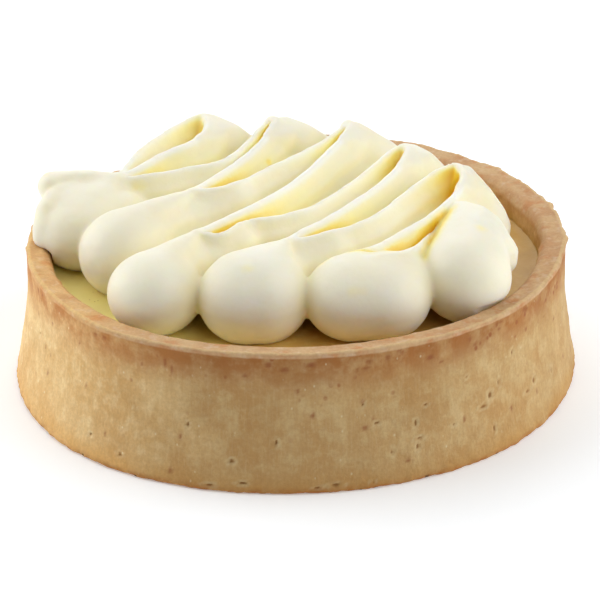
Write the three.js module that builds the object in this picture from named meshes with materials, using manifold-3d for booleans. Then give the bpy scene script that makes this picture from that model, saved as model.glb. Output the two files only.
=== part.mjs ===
// Key lime tartlet: a straight-sided pastry case, a set curd filling and one
// continuous zigzag of piped cream on top. Millimetres, +Z up. The origin is
// the centre of the case's underside.
import * as THREE from 'three';
import { mergeVertices } from 'three/addons/utils/BufferGeometryUtils.js';
import Module from 'manifold-3d';

const wasm = await Module();
wasm.setup();

// ---------------------------------------------------------------- pastry case
const RIM_RADIUS = 40;        // outside of the case in its straight upper part
const CASE_HEIGHT = 20.9;     // underside to the top of the rim
const FOOT_RADIUS = 42;       // the dough spreads at the foot of its ring
const FLARE_HEIGHT = 14;      // where the flare has run out into the straight wall
const FLARE_POWER = 1.2;      // 1 is a cone, above 1 the flare is hollowed
const FLARE_STEPS = 5;
const FOOT_EDGE = 0.65;       // rounding of the bottom edge
const RIM_WALL = 3.9;         // thickness of the wall at the rim
const RIM_ROUND_OUT = 0.45;   // rounding of the rim's outer edge
const RIM_ROUND_IN = 0.95;    // rounding of the rim's inner edge
const FLOOR_THICKNESS = 4;    // pastry under the filling
const INNER_DRAFT = 0.5;      // the inside narrows this much down to the floor
const FLOOR_FILLET = 1.4;     // inside corner between floor and wall
const RIM_WAVE = 0.28;        // how far the baked rim rises and dips
const WALL_WAVE = 0.22;       // how far the baked wall is out of round
const CASE_SEGMENTS = 64;

// -------------------------------------------------------------------- filling
const FILLING_LEVEL = 16.3;   // top of the curd
const FIT_GAP = 0.3;          // clearance between touching pieces
const FILLING_EDGE = 0.5;     // softened top edge of the curd
const FILLING_SEGMENTS = 56;

// ---------------------------------------------------------------- piped cream
const CREAM_BASE = FILLING_LEVEL + FIT_GAP;
const CREST_RADIUS = 0.75;    // rounding of the thin crest of the ribbon
const MERGE_RADIUS = 1.2;     // rounding where two crests have run together
const RIBBON_RADIUS = 6.2;    // half width of the ribbon's fat lower body
const RIBBON_AXIS = 21.8;     // height of the middle of that body
const CONCAVITY = 1.3;        // above 1 the ribbon's sides are hollowed
const RING_SIDE = 3;          // points on each side between body and crest
const STROKE_STATIONS = 5;    // lengths that each stroke is made in
const SLIVER = 0.22;          // smallest detail kept where strokes run together
const TURN_SEGMENTS = 12;     // facets round the ribbon where it turns
const BULB_SEGMENTS = 18;     // facets round a bulb

// Every crest point below is [x, y, height of the top of the crest].

// Front turns: settled round bulbs where the ribbon comes down and goes back.
// Centre, radius in plan, half height, half length of the turn along X.
const BULBS = [
  { at: [-31.4, 1.9, 21.8], r: 7.2, half: 5.7, spread: 0 },
  { at: [-24.8, -7.1, 22.0], r: 6.8, half: 6.5, spread: 0 },
  { at: [-20.1, -20.6, 21.9], r: 6.9, half: 5.95, spread: 0 },
  { at: [-6.0, -22.7, 21.9], r: 6.9, half: 6.6, spread: 1.1 },
  { at: [10.2, -23.4, 21.9], r: 6.75, half: 6.05, spread: 2.35 },
];
// Where the crests of the coming and the going stroke close behind each bulb.
const MERGES = [
  [-26.8, 7.6, 28.0],
  [-15.2, 1.7, 28.2],
  [-14.2, -12.8, 28.0],
  [-1.3, -16.4, 27.9],
  [10.4, -19.2, 27.5],
];
// Back turns: hoods over a deep hollow. Each has the crest of the stroke that
// comes to it, the crest round its turn, the crest of the stroke that goes
// back to the next bulb, and the fat outside of the turn with its radii.
const HOODS = [
  {
    coming: [[-23.0, 15.3, 29.4], [-19.9, 19.8, 29.9], [-16.0, 24.7, 30.3]],
    turn: [[-13.9, 26.1, 30.4], [-13.1, 23.3, 30.3], [-13.8, 19.2, 30.0]],
    going: [[-15.6, 16.9, 29.7], [-19.3, 14.4, 29.2], [-23.3, 10.2, 28.6]],
    shoulder: [-10.6, 23.6, 26.0], shoulderRadius: 3.8, cap: [-12.6, 25.4, 28.3], capRadius: 2.1,
  },
  {
    coming: [[-15.5, 9.6, 28.7], [-6.9, 16.2, 29.8], [-4.0, 22.8, 30.3]],
    turn: [[-3.0, 23.9, 30.4], [-2.7, 23.1, 30.3]],
    going: [[-3.3, 21.1, 30.0], [-6.9, 12.9, 29.2], [-10.2, 7.9, 28.8]],
    shoulder: [0.9, 23.2, 25.7], shoulderRadius: 3.8, cap: [-1.2, 24.2, 27.8], capRadius: 2.4,
  },
  {
    coming: [[-9.3, 2.7, 28.6], [1.3, 12.3, 29.6], [7.7, 20.5, 30.3]],
    turn: [[8.6, 21.7, 30.4], [8.9, 20.9, 30.3]],
    going: [[8.1, 18.5, 30.0], [1.9, 5.6, 29.2], [-8.2, -6.9, 28.4]],
    shoulder: [11.0, 20.8, 25.2], shoulderRadius: 3.8, cap: [9.5, 22.0, 28.0], capRadius: 2.0,
  },
  {
    coming: [[-6.9, -9.9, 28.3], [2.4, -6.7, 28.9], [15.3, 11.7, 30.2]],
    turn: [[16.7, 12.6, 30.3], [17.2, 10.8, 30.2], [16.7, 9.0, 30.0]],
    going: [[15.9, 6.5, 29.8], [9.5, -4.5, 29.2], [1.1, -13.8, 28.4]],
    shoulder: [18.9, 11.2, 26.3], shoulderRadius: 3.4, cap: [17.8, 12.6, 28.2], capRadius: 1.9,
  },
  {
    coming: [[2.9, -15.2, 28.2], [11.7, -10.3, 29.0], [22.2, 4.0, 30.2]],
    turn: [[24.0, 4.9, 30.3], [24.9, 2.0, 30.2], [24.7, -0.9, 30.0]],
    going: [[23.8, -4.1, 29.8], [19.0, -11.5, 28.9], [13.3, -17.2, 28.1]],
    shoulder: [26.5, 1.2, 25.4], shoulderRadius: 3.3, cap: [25.5, 4.6, 28.3], capRadius: 1.9,
  },
];
// Blunt start of the piping, which leans over the first bulb, and the soft
// lobe that hangs from its end: [x, y, z, radius] along the lobe.
const TAIL = { start: [-36.0, 6.7, 29.3], startRadius: 2.2, body: [-32.6, 5.6, 22.4], bodyRadius: 5.6, middle: [-31.1, 7.6, 29.1], middleRadius: 1.3 };
const LOBE = [[-34.9, 4.6, 26.8, 1.6], [-36.2, 2.2, 25.1, 2.1], [-36.0, 0.2, 21.4, 2.6]];
// The last stroke runs from the last merge across to the teardrop.
const LAST_STROKE = [[8.0, -22.9, 28.0], [15.3, -21.8, 28.1], [19.0, -14.6, 27.7], [23.1, -7.6, 26.9]];
const LAST_BODY = { from: [12.8, -22.2, 24.4, 3.4], to: [16.2, -22.0, 24.4, 3.1] };
// Last bulb: a teardrop pulled up and back to a tip where the nozzle left.
const TEARDROP = { front: [24.3, -19.7, 23.0], frontRadius: 6.6, back: [25.3, -12.1, 24.9], backRadius: 5.1, tip: [23.8, -6.9, 28.1], tipRadius: 0.9 };
// Flap of cream that hangs from the tip down the teardrop's outer side.
const FLAP = [[24.5, -8.0, 27.6, 0.9], [27.6, -9.5, 27.2, 1.3], [30.1, -11.0, 24.8, 1.4], [30.6, -12.8, 21.4, 1.3]];

const v = (p) => new THREE.Vector3(p[0], p[1], p[2]);
const lerp = (a, b, t) => a + (b - a) * t;

// A closed geometry with only positions and shared vertices, without the
// collapsed triangles that a lathe leaves on its axis.
function closedGeometry(geometry) {
  let g = geometry;
  g.deleteAttribute('normal');
  g.deleteAttribute('uv');
  g = mergeVertices(g, 1e-4);
  const index = g.index.array;
  const kept = [];
  for (let i = 0; i < index.length; i += 3) {
    const [a, b, c] = [index[i], index[i + 1], index[i + 2]];
    if (a !== b && b !== c && a !== c) kept.push(a, b, c);
  }
  g.setIndex(kept);
  return g;
}

function toSolid(geometry) {
  const g = closedGeometry(geometry);
  const mesh = new wasm.Mesh({
    numProp: 3,
    vertProperties: new Float32Array(g.attributes.position.array),
    triVerts: new Uint32Array(g.index.array),
  });
  let solid = new wasm.Manifold(mesh);
  if (solid.volume() < 0) {
    const flipped = new Uint32Array(g.index.array);
    for (let i = 0; i < flipped.length; i += 3) {
      const t = flipped[i]; flipped[i] = flipped[i + 1]; flipped[i + 1] = t;
    }
    solid = new wasm.Manifold(new wasm.Mesh({
      numProp: 3, vertProperties: mesh.vertProperties, triVerts: flipped,
    }));
  }
  return solid;
}

function toGeometry(solid) {
  const m = solid.getMesh();
  const g = new THREE.BufferGeometry();
  const position = new Float32Array(m.numVert * 3);
  for (let i = 0; i < m.numVert; i++) {
    for (let k = 0; k < 3; k++) position[3 * i + k] = m.vertProperties[i * m.numProp + k];
  }
  g.setAttribute('position', new THREE.BufferAttribute(position, 3));
  g.setIndex(Array.from(m.triVerts));
  g.computeVertexNormals();
  return g;
}

// Draws together points closer than the tolerance and turns the long edge of
// flattened facets, so that no sliver is left where bodies were joined.
// Points on the flat underside keep their height.
function tidied(solid, tolerance, floorZ) {
  const m = solid.getMesh();
  const P = [];
  for (let i = 0; i < m.numVert; i++) P.push(new THREE.Vector3(...m.vertProperties.slice(i * m.numProp, i * m.numProp + 3)));
  const F = [];
  const around = P.map(() => new Set());
  for (let i = 0; i < m.triVerts.length; i += 3) {
    const f = [m.triVerts[i], m.triVerts[i + 1], m.triVerts[i + 2]];
    f.forEach((k) => around[k].add(F.length));
    F.push(f);
  }
  const ab = new THREE.Vector3(), ac = new THREE.Vector3();
  const crossOf = (a, b, c) => new THREE.Vector3().crossVectors(ab.subVectors(b, a), ac.subVectors(c, a));
  const neighbours = (k) => {
    const set = new Set();
    around[k].forEach((f) => F[f].forEach((q) => { if (q !== k) set.add(q); }));
    return set;
  };
  const onFloor = (k) => Math.abs(P[k].z - floorZ) < 1e-5;
  const collapse = (a, b) => {
    const na = neighbours(a), nb = neighbours(b);
    if (!na.has(b)) return false;
    let shared = 0;
    na.forEach((q) => { if (nb.has(q)) shared++; });
    if (shared !== 2) return false;
    const target = onFloor(a) === onFloor(b) ? P[a].clone().add(P[b]).multiplyScalar(0.5) : (onFloor(a) ? P[a].clone() : P[b].clone());
    for (const k of [a, b]) {
      for (const f of around[k]) {
        if (F[f].includes(a) && F[f].includes(b)) continue;
        const before = crossOf(...F[f].map((q) => P[q]));
        const after = crossOf(...F[f].map((q) => (q === k ? target : P[q])));
        if (before.length() > 4 * tolerance * tolerance && before.dot(after) < 0.3 * before.length() * after.length()) return false;
      }
    }
    P[a] = target;
    for (const f of [...around[b]]) {
      if (F[f].includes(a)) {
        F[f].forEach((q) => around[q].delete(f));
        F[f] = null;
      } else {
        F[f] = F[f].map((q) => (q === b ? a : q));
        around[a].add(f);
      }
    }
    around[b].clear();
    return true;
  };
  for (let pass = 0; pass < 12; pass++) {
    let changed = 0;
    const edges = [];
    F.forEach((f) => {
      if (!f) return;
      for (let k = 0; k < 3; k++) {
        const a = f[k], b = f[(k + 1) % 3];
        const d = P[a].distanceTo(P[b]);
        if (a < b && d < tolerance) edges.push([d, a, b]);
      }
    });
    edges.sort((p, q) => p[0] - q[0]);
    for (const [, a, b] of edges) {
      if (around[a].size && around[b].size && P[a].distanceTo(P[b]) < tolerance && collapse(a, b)) changed++;
    }
    // flattened facets: turn their long edge
    for (let f = 0; f < F.length; f++) {
      if (!F[f]) continue;
      const t = F[f];
      let longest = 0;
      for (let k = 1; k < 3; k++) if (P[t[k]].distanceTo(P[t[(k + 1) % 3]]) > P[t[longest]].distanceTo(P[t[(longest + 1) % 3]])) longest = k;
      const a = t[longest], b = t[(longest + 1) % 3], c = t[(longest + 2) % 3];
      const long = P[a].distanceTo(P[b]);
      if (crossOf(P[a], P[b], P[c]).length() / long > tolerance * 0.25) continue;
      let other = -1;
      around[a].forEach((g) => { if (g !== f && F[g].includes(b)) other = g; });
      if (other < 0) continue;
      const d = F[other].find((q) => q !== a && q !== b);
      if (neighbours(c).has(d) || c === d) continue;
      const n1 = crossOf(P[a], P[d], P[c]), n2 = crossOf(P[d], P[b], P[c]);
      const n = crossOf(P[a], P[d], P[b]);
      if (n1.dot(n) <= 0 || n2.dot(n) <= 0 || n1.length() < 1e-9 || n2.length() < 1e-9) continue;
      around[b].delete(f); around[a].delete(other);
      F[f] = [a, d, c]; F[other] = [d, b, c];
      around[d].add(f); around[c].add(other);
      changed++;
    }
    if (!changed) break;
  }
  const used = new Map();
  const position = [];
  const index = [];
  F.forEach((f) => {
    if (!f) return;
    f.forEach((q) => {
      if (!used.has(q)) { used.set(q, used.size); position.push(P[q].x, P[q].y, P[q].z); }
      index.push(used.get(q));
    });
  });
  const g = new THREE.BufferGeometry();
  g.setAttribute('position', new THREE.Float32BufferAttribute(position, 3));
  g.setIndex(index);
  return g;
}

// A turned body about Z from a profile of [radius, height].
function turned(profile, segments) {
  const g = new THREE.LatheGeometry(profile.map(([r, z]) => new THREE.Vector2(r, z)), segments);
  g.rotateX(Math.PI / 2);
  return g;
}

// ----------------------------------------------------------------- pastry case
function caseProfile() {
  const p = [[0, 0], [FOOT_RADIUS - FOOT_EDGE * 1.2, 0], [FOOT_RADIUS - FOOT_EDGE * 0.35, FOOT_EDGE * 0.35], [FOOT_RADIUS, FOOT_EDGE * 1.2]];
  for (let i = 1; i <= FLARE_STEPS; i++) {
    const t = i / FLARE_STEPS;
    p.push([lerp(RIM_RADIUS, FOOT_RADIUS, (1 - t) ** FLARE_POWER), lerp(FOOT_EDGE * 1.2, FLARE_HEIGHT, t)]);
  }
  p.push([RIM_RADIUS, CASE_HEIGHT - RIM_ROUND_OUT * 1.3]);
  p.push([RIM_RADIUS - RIM_ROUND_OUT * 0.35, CASE_HEIGHT - RIM_ROUND_OUT * 0.35]);
  p.push([RIM_RADIUS - RIM_ROUND_OUT * 1.3, CASE_HEIGHT]);
  const inner = RIM_RADIUS - RIM_WALL;
  p.push([inner + RIM_ROUND_IN * 1.3, CASE_HEIGHT]);
  p.push([inner + RIM_ROUND_IN * 0.35, CASE_HEIGHT - RIM_ROUND_IN * 0.35]);
  p.push([inner, CASE_HEIGHT - RIM_ROUND_IN * 1.3]);
  p.push([inner - INNER_DRAFT, FLOOR_THICKNESS + FLOOR_FILLET]);
  p.push([inner - INNER_DRAFT - 0.3 * FLOOR_FILLET, FLOOR_THICKNESS + 0.3 * FLOOR_FILLET]);
  p.push([inner - INNER_DRAFT - FLOOR_FILLET, FLOOR_THICKNESS]);
  p.push([0, FLOOR_THICKNESS]);
  return p;
}

function bakedCase() {
  const g = turned(caseProfile(), CASE_SEGMENTS);
  const pos = g.attributes.position;
  const outerFrom = RIM_RADIUS - RIM_WALL + 0.1;
  for (let i = 0; i < pos.count; i++) {
    const x = pos.getX(i), y = pos.getY(i), z = pos.getZ(i);
    const r = Math.hypot(x, y);
    if (r < outerFrom) continue;
    const a = Math.atan2(y, x);
    const wave = 0.5 * Math.sin(3 * a + 0.6) + 0.3 * Math.sin(7 * a + 2.1) + 0.2 * Math.sin(13 * a + 4.0);
    const out = 0.6 * Math.sin(2 * a + 1.1) + 0.4 * Math.sin(5 * a + 0.3);
    const rise = THREE.MathUtils.smoothstep(z, FLARE_HEIGHT, CASE_HEIGHT);
    const swell = THREE.MathUtils.smoothstep(r, outerFrom, RIM_RADIUS - 1) * THREE.MathUtils.smoothstep(z, 0, FOOT_EDGE * 3);
    const k = 1 + (WALL_WAVE * out * swell) / r;
    pos.setXYZ(i, x * k, y * k, z + RIM_WAVE * wave * rise);
  }
  return toGeometry(toSolid(g));
}

// -------------------------------------------------------------------- filling
function curd() {
  const inner = RIM_RADIUS - RIM_WALL;
  const wallAt = (z) => {
    const t = (z - FLOOR_THICKNESS - FLOOR_FILLET) / (CASE_HEIGHT - RIM_ROUND_IN * 1.3 - FLOOR_THICKNESS - FLOOR_FILLET);
    return inner - INNER_DRAFT * (1 - t);
  };
  const bottom = FLOOR_THICKNESS + FIT_GAP;
  const p = [
    [0, bottom],
    [wallAt(FLOOR_THICKNESS + FLOOR_FILLET) - FLOOR_FILLET - 0.2, bottom],
    [wallAt(FLOOR_THICKNESS + FLOOR_FILLET) - FIT_GAP - 0.15, FLOOR_THICKNESS + FLOOR_FILLET + FIT_GAP],
    [wallAt(FILLING_LEVEL - FILLING_EDGE) - FIT_GAP, FILLING_LEVEL - FILLING_EDGE],
    [wallAt(FILLING_LEVEL) - FIT_GAP - FILLING_EDGE, FILLING_LEVEL],
    [0, FILLING_LEVEL],
  ];
  return toGeometry(toSolid(turned(p, FILLING_SEGMENTS)));
}

// ---------------------------------------------------------------- piped cream
// Half outline of the ribbon's section from its lowest point to its crest:
// u is the distance from its middle plane, w the height along its axis.
function halfSection(rb, rc, height, capSteps = 1) {
  const out = [[0, -rb]];
  for (let i = capSteps; i >= 1; i--) {
    const a = (Math.PI / 2) * (i / (capSteps + 1)) * 0.78;
    out.push([rb * Math.cos(a), -rb * Math.sin(a)]);
  }
  out.push([rb, 0]);
  for (let i = 1; i <= RING_SIDE; i++) {
    const h = i / RING_SIDE;
    out.push([rc + (rb - rc) * (1 - h) ** CONCAVITY, h * height]);
  }
  for (let i = 1; i <= capSteps; i++) {
    const a = (Math.PI / 2) * (i / (capSteps + 1));
    out.push([rc * Math.cos(a), height + rc * Math.sin(a)]);
  }
  out.push([0, height + rc]);
  return out;
}

// A station of the ribbon: base and crest centres with their radii.
function station(crest, rc, base, rb) {
  return { crest, rc, base, rb };
}

// A drop-shaped body about the axis from base to crest.
function drop(s, segments = TURN_SEGMENTS, capSteps = 1) {
  const axis = new THREE.Vector3().subVectors(s.crest, s.base);
  const height = axis.length();
  const g = new THREE.LatheGeometry(halfSection(s.rb, s.rc, height, capSteps).map(([u, w]) => new THREE.Vector2(u, w)), segments);
  const q = new THREE.Quaternion().setFromUnitVectors(new THREE.Vector3(0, 1, 0), axis.normalize());
  g.applyQuaternion(q);
  g.translate(s.base.x, s.base.y, s.base.z);
  return toSolid(g);
}

// The ribbon between stations, each section square to the path there.
function ribbon(stations) {
  const rings = stations.map((s, i) => {
    const a = stations[Math.max(0, i - 1)].base;
    const b = stations[Math.min(stations.length - 1, i + 1)].base;
    const along = new THREE.Vector3(b.x - a.x, b.y - a.y, 0).normalize();
    const axis = new THREE.Vector3().subVectors(s.crest, s.base);
    const height = axis.length();
    axis.normalize();
    const side = new THREE.Vector3().crossVectors(along, axis).normalize();
    const half = halfSection(s.rb, s.rc, height);
    const ring = half.map(([u, w]) => [u, w]);
    for (let k = half.length - 2; k > 0; k--) ring.push([-half[k][0], half[k][1]]);
    return ring.map(([u, w]) => s.base.clone().addScaledVector(side, u).addScaledVector(axis, w));
  });
  const n = rings[0].length;
  const position = [];
  rings.forEach((ring) => ring.forEach((p) => position.push(p.x, p.y, p.z)));
  const index = [];
  for (let i = 0; i + 1 < rings.length; i++) {
    for (let k = 0; k < n; k++) {
      const a = i * n + k, b = i * n + ((k + 1) % n), c = a + n, d = b + n;
      index.push(a, b, d, a, d, c);
    }
  }
  for (const [ring, flip] of [[0, true], [rings.length - 1, false]]) {
    const o = ring * n;
    for (let k = 1; k + 1 < n; k++) {
      // strips across the symmetric section keep the cap flat and closed
      const lo = (j) => o + j;
      if (flip) index.push(lo(0), lo(k + 1), lo(k)); else index.push(lo(0), lo(k), lo(k + 1));
    }
  }
  const g = new THREE.BufferGeometry();
  g.setAttribute('position', new THREE.Float32BufferAttribute(position, 3));
  g.setIndex(index);
  return toSolid(g);
}

// Centre of a crest whose top is at the given point.
function crestAt(p, radius = CREST_RADIUS) {
  return new THREE.Vector3(p[0], p[1], p[2] - radius);
}

// Body centre under a crest point; the ribbon leans a little to its left.
function under(crest, lean = [0, 0]) {
  return new THREE.Vector3(crest.x + lean[0], crest.y + lean[1], RIBBON_AXIS);
}

// Stations of a stroke from a merge to a hood through its crest points.
function strokeStations(merge, points) {
  const curve = new THREE.CatmullRomCurve3([merge, ...points].map((p) => crestAt(p)), false, 'centripetal');
  const list = [];
  for (let i = 0; i <= STROKE_STATIONS; i++) {
    const t = i / STROKE_STATIONS;
    const crest = curve.getPointAt(t);
    const rc = lerp(MERGE_RADIUS, CREST_RADIUS, Math.min(1, t * 4));
    crest.z -= rc - CREST_RADIUS;
    list.push(station(crest, rc, under(crest, [0.6 * t, -0.4 * t]), RIBBON_RADIUS));
  }
  return list;
}

// A settled bulb: a flattened ball, drawn out along X by its spread.
function bulbSolid({ at, r, half, spread }) {
  const g = new THREE.SphereGeometry(1, BULB_SEGMENTS, 12);
  g.rotateX(Math.PI / 2);
  const pos = g.attributes.position;
  for (let i = 0; i < pos.count; i++) {
    const x = pos.getX(i);
    const shift = Math.abs(x) < 1e-6 ? 0 : Math.sign(x) * spread;
    pos.setXYZ(i, at[0] + x * r + shift, at[1] + pos.getY(i) * r, at[2] + pos.getZ(i) * half);
  }
  return toSolid(g);
}

// Rounded limb through [x, y, z, radius] points.
function limb(points, segments) {
  const out = [];
  for (let i = 0; i + 1 < points.length; i++) {
    out.push(drop(station(v(points[i + 1]), points[i + 1][3], v(points[i]), points[i][3]), segments));
  }
  return out;
}

function pipedCream() {
  const pieces = [];
  const addChain = (stations, segments) => {
    stations.forEach((s) => pieces.push(drop(s, segments)));
    for (let i = 0; i + 1 < stations.length; i++) pieces.push(ribbon([stations[i], stations[i + 1]]));
  };

  // the blunt tail and its lobe
  const join = crestAt(MERGES[0], MERGE_RADIUS);
  const tail = [station(crestAt(TAIL.start, TAIL.startRadius), TAIL.startRadius, v(TAIL.body), TAIL.bodyRadius),
    station(crestAt(TAIL.middle, TAIL.middleRadius), TAIL.middleRadius, v(TAIL.body).add(new THREE.Vector3(2.6, 1.2, -0.4)), TAIL.bodyRadius),
    station(join, MERGE_RADIUS, under(join), RIBBON_RADIUS * 0.9)];
  addChain(tail);
  pieces.push(...limb(LOBE, 10));

  HOODS.forEach((hood, i) => {
    // stroke towards the hood, from the merge behind the bulb before it
    pieces.push(ribbon(strokeStations(MERGES[Math.max(0, i - 1)], hood.coming)));
    // the hairpin at the back, with its fat outside
    const round = [hood.coming[hood.coming.length - 1], ...hood.turn, hood.going[0]];
    addChain(round.map((p) => {
      const c = crestAt(p);
      return station(c, CREST_RADIUS, under(c, [0.6, -0.4]), RIBBON_RADIUS);
    }));
    pieces.push(drop(station(v(hood.cap), hood.capRadius, v(hood.shoulder), hood.shoulderRadius)));
    // stroke back to the next bulb
    pieces.push(ribbon(strokeStations(MERGES[i], [...hood.going].reverse())));
  });

  BULBS.forEach((bulb, i) => {
    pieces.push(bulbSolid(bulb));
    // the neck that rises from the bulb to the merge behind it
    const merge = crestAt(MERGES[i], MERGE_RADIUS);
    const root = station(merge, MERGE_RADIUS, under(merge), RIBBON_RADIUS);
    const heads = bulb.spread > 0 ? [-bulb.spread, bulb.spread] : [0];
    heads.forEach((k) => {
      const c = v(bulb.at).add(new THREE.Vector3(k, 0, 0));
      const crest = c.clone().add(new THREE.Vector3(0, 0, bulb.half * 0.38));
      pieces.push(ribbon([station(crest, bulb.half * 0.6, c, bulb.r * 0.96), root]));
    });
    pieces.push(drop(root));
  });

  // last stroke, and the teardrop it ends in
  const last = LAST_STROKE.map((p) => {
    const c = crestAt(p, CREST_RADIUS * 1.1);
    return station(c, CREST_RADIUS * 1.1, under(c), RIBBON_RADIUS * 0.85);
  });
  pieces.push(ribbon(last));
  pieces.push(...limb([LAST_BODY.from, LAST_BODY.to], 10));
  const t = TEARDROP;
  pieces.push(drop(station(v(t.back), t.backRadius, v(t.front), t.frontRadius), BULB_SEGMENTS, 3));
  pieces.push(drop(station(v(t.tip), t.tipRadius, v(t.back), t.backRadius), BULB_SEGMENTS, 2));
  pieces.push(...limb(FLAP, 8));

  let cream = wasm.Manifold.union(pieces);

  // flat where it lies on the filling
  const below = new THREE.BoxGeometry(120, 120, 40);
  below.translate(0, 0, CREAM_BASE - 20);
  cream = cream.subtract(toSolid(below));
  // clear of the rim where the first bulb leans over it
  const inner = RIM_RADIUS - RIM_WALL - FIT_GAP - 0.1;
  const top = CASE_HEIGHT + RIM_WAVE + FIT_GAP;
  const keepOut = turned([[inner, 10], [60, 10], [60, top], [inner + 0.8, top], [inner, top - 1.0], [inner, 10]], CASE_SEGMENTS);
  cream = cream.subtract(toSolid(keepOut));
  const bodies = cream.decompose().sort((a, b) => b.volume() - a.volume());
  const clean = tidied(bodies[0], SLIVER, CREAM_BASE);
  clean.computeVertexNormals();
  return clean;
}

// ------------------------------------------------------------------- assembly
const pastry = new THREE.MeshStandardMaterial({ color: 0xcfa06a, roughness: 0.85, metalness: 0 });
const curdYellow = new THREE.MeshStandardMaterial({ color: 0xc9a95c, roughness: 0.35, metalness: 0 });
const whippedCream = new THREE.MeshStandardMaterial({ color: 0xf2eed8, roughness: 0.45, metalness: 0 });

function named(name, geometry, material) {
  const mesh = new THREE.Mesh(geometry, material);
  mesh.name = name;
  return mesh;
}

const tartlet = new THREE.Group();
tartlet.name = 'key_lime_tartlet';
tartlet.add(named('crust', bakedCase(), pastry));
tartlet.add(named('filling', curd(), curdYellow));
tartlet.add(named('cream', pipedCream(), whippedCream));

export default tartlet;
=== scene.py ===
import bpy
import math
import numpy as np
from mathutils import Matrix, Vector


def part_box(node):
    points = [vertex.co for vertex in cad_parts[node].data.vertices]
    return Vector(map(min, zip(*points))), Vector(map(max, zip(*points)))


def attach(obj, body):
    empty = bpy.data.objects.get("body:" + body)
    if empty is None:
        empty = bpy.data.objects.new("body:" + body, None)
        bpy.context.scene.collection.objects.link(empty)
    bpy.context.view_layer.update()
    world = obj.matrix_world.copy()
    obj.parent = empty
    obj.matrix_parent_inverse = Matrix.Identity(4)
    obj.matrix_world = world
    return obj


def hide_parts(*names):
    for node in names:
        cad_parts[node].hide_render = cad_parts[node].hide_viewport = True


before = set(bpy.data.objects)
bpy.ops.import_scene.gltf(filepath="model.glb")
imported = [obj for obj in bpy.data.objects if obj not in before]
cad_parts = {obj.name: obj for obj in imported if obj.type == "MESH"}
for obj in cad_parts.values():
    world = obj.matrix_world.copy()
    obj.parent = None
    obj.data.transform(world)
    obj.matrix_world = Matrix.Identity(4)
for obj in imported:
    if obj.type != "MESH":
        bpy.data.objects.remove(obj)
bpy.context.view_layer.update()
MM = 0.001


def top(node):
    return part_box(node)[1][2] / MM


def bottom(node):
    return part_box(node)[0][2] / MM


# The frame's own heights, in millimetres.
FILLING_TOP = top("filling")
CREAM_BASE = bottom("cream")
CASE_FOOT = bottom("crust")
FOOT_R = (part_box("crust")[1][0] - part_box("crust")[0][0]) / MM / 2 - 0.12

# ------------------------------------------------------------------ noise
def lattice(ix, iy, iz, seed):
    h = (ix.astype(np.int64) * 374761393 + iy.astype(np.int64) * 668265263
         + iz.astype(np.int64) * 2147483647 + seed * 974711) & 0xFFFFFFFF
    h = ((h ^ (h >> 13)) * 1274126177) & 0xFFFFFFFF
    h = ((h ^ (h >> 16)) * 2246822519) & 0xFFFFFFFF
    return ((h ^ (h >> 15)) & 0xFFFFFF) / float(0xFFFFFF)


def noise(P, scale, seed=0):
    """Smooth value noise from -1 to 1 at points P, scale in cells per millimetre, one number or three."""
    Q = P * np.asarray(scale, float)
    I = np.floor(Q).astype(np.int64)
    f = Q - I
    f = f * f * f * (f * (f * 6 - 15) + 10)
    out = 0
    for i in (0, 1):
        for j in (0, 1):
            for k in (0, 1):
                w = ((f[..., 0] if i else 1 - f[..., 0]) * (f[..., 1] if j else 1 - f[..., 1])
                     * (f[..., 2] if k else 1 - f[..., 2]))
                out = out + w * lattice(I[..., 0] + i, I[..., 1] + j, I[..., 2] + k, seed)
    return out * 2 - 1


def smooth(a, b, x):
    t = np.clip((x - a) / (b - a), 0, 1)
    return t * t * (3 - 2 * t)


# ------------------------------------------------------------------ crust
RIM_R = 40.0
FLARE_TOP = 14.0
RIM_WALL = 3.9
# Height of the baked rim round the case: degrees from +X, millimetres.
RIM_HEIGHTS = [(1, 21.15), (9, 21.12), (14, 21.0), (21, 20.84), (28, 21.04), (40, 21.0), (47, 20.8), (54, 21.0),
               (66, 20.95), (82, 20.95), (96, 20.7), (110, 20.35), (125, 20.0), (140, 20.0), (155, 20.6), (175, 20.9),
               (195, 21.0), (212, 20.95), (226, 20.6), (237, 20.84), (246, 20.96), (262, 21.1), (279, 21.05),
               (295, 21.0), (305, 20.78), (316, 20.7), (331, 20.62), (348, 20.95)]


# Where the case is out of round: degrees from +X, then millimetres at the rim and at the foot.
OUT_OF_ROUND = [(0, 0.05, -0.30), (20, 0.0, -0.15), (60, 0.05, 0.05), (120, -0.10, 0.0), (160, -0.20, 0.10),
                (182, -0.25, 0.20), (215, -0.08, 0.50), (235, 0.0, 0.40), (250, 0.05, 0.05), (262, 0.0, -0.28),
                (276, 0.0, -0.42), (290, 0.0, -0.35), (305, 0.0, -0.22), (322, 0.0, -0.05), (342, 0.05, -0.28)]
# Tone of the wall round the case: degrees from +X, then 0 for darkest and 1 for palest. It is partly the crust's own
# uneven bake and partly painted light and shade: the paler left side and the darker front stand in for how the lamps
# fall, and how much of each isn't known. These numbers were fitted so that the lit wall matches the photograph; one
# value all round gives an even case.
CASE_TONE_AND_PAINTED_LIGHT = [(0, 0.26), (22, 0.24), (45, 0.26), (75, 0.32), (105, 0.46), (140, 0.60), (168, 0.92), (190, 1.06), (208, 1.02),
         (222, 0.90), (238, 0.47), (252, 0.10), (268, 0.0), (286, 0.0), (304, 0.06), (322, 0.17), (342, 0.26)]
# Crumbs on the rim's outer edge: angle, half width in mm, size.
NIBS = [(356, 1.0, 3.2), (14.5, 0.9, 2.4), (37.4, 0.9, 1.4), (62, 1.2, 1.0), (171, 0.8, 1.5), (331, 0.9, 1.0)]
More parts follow.
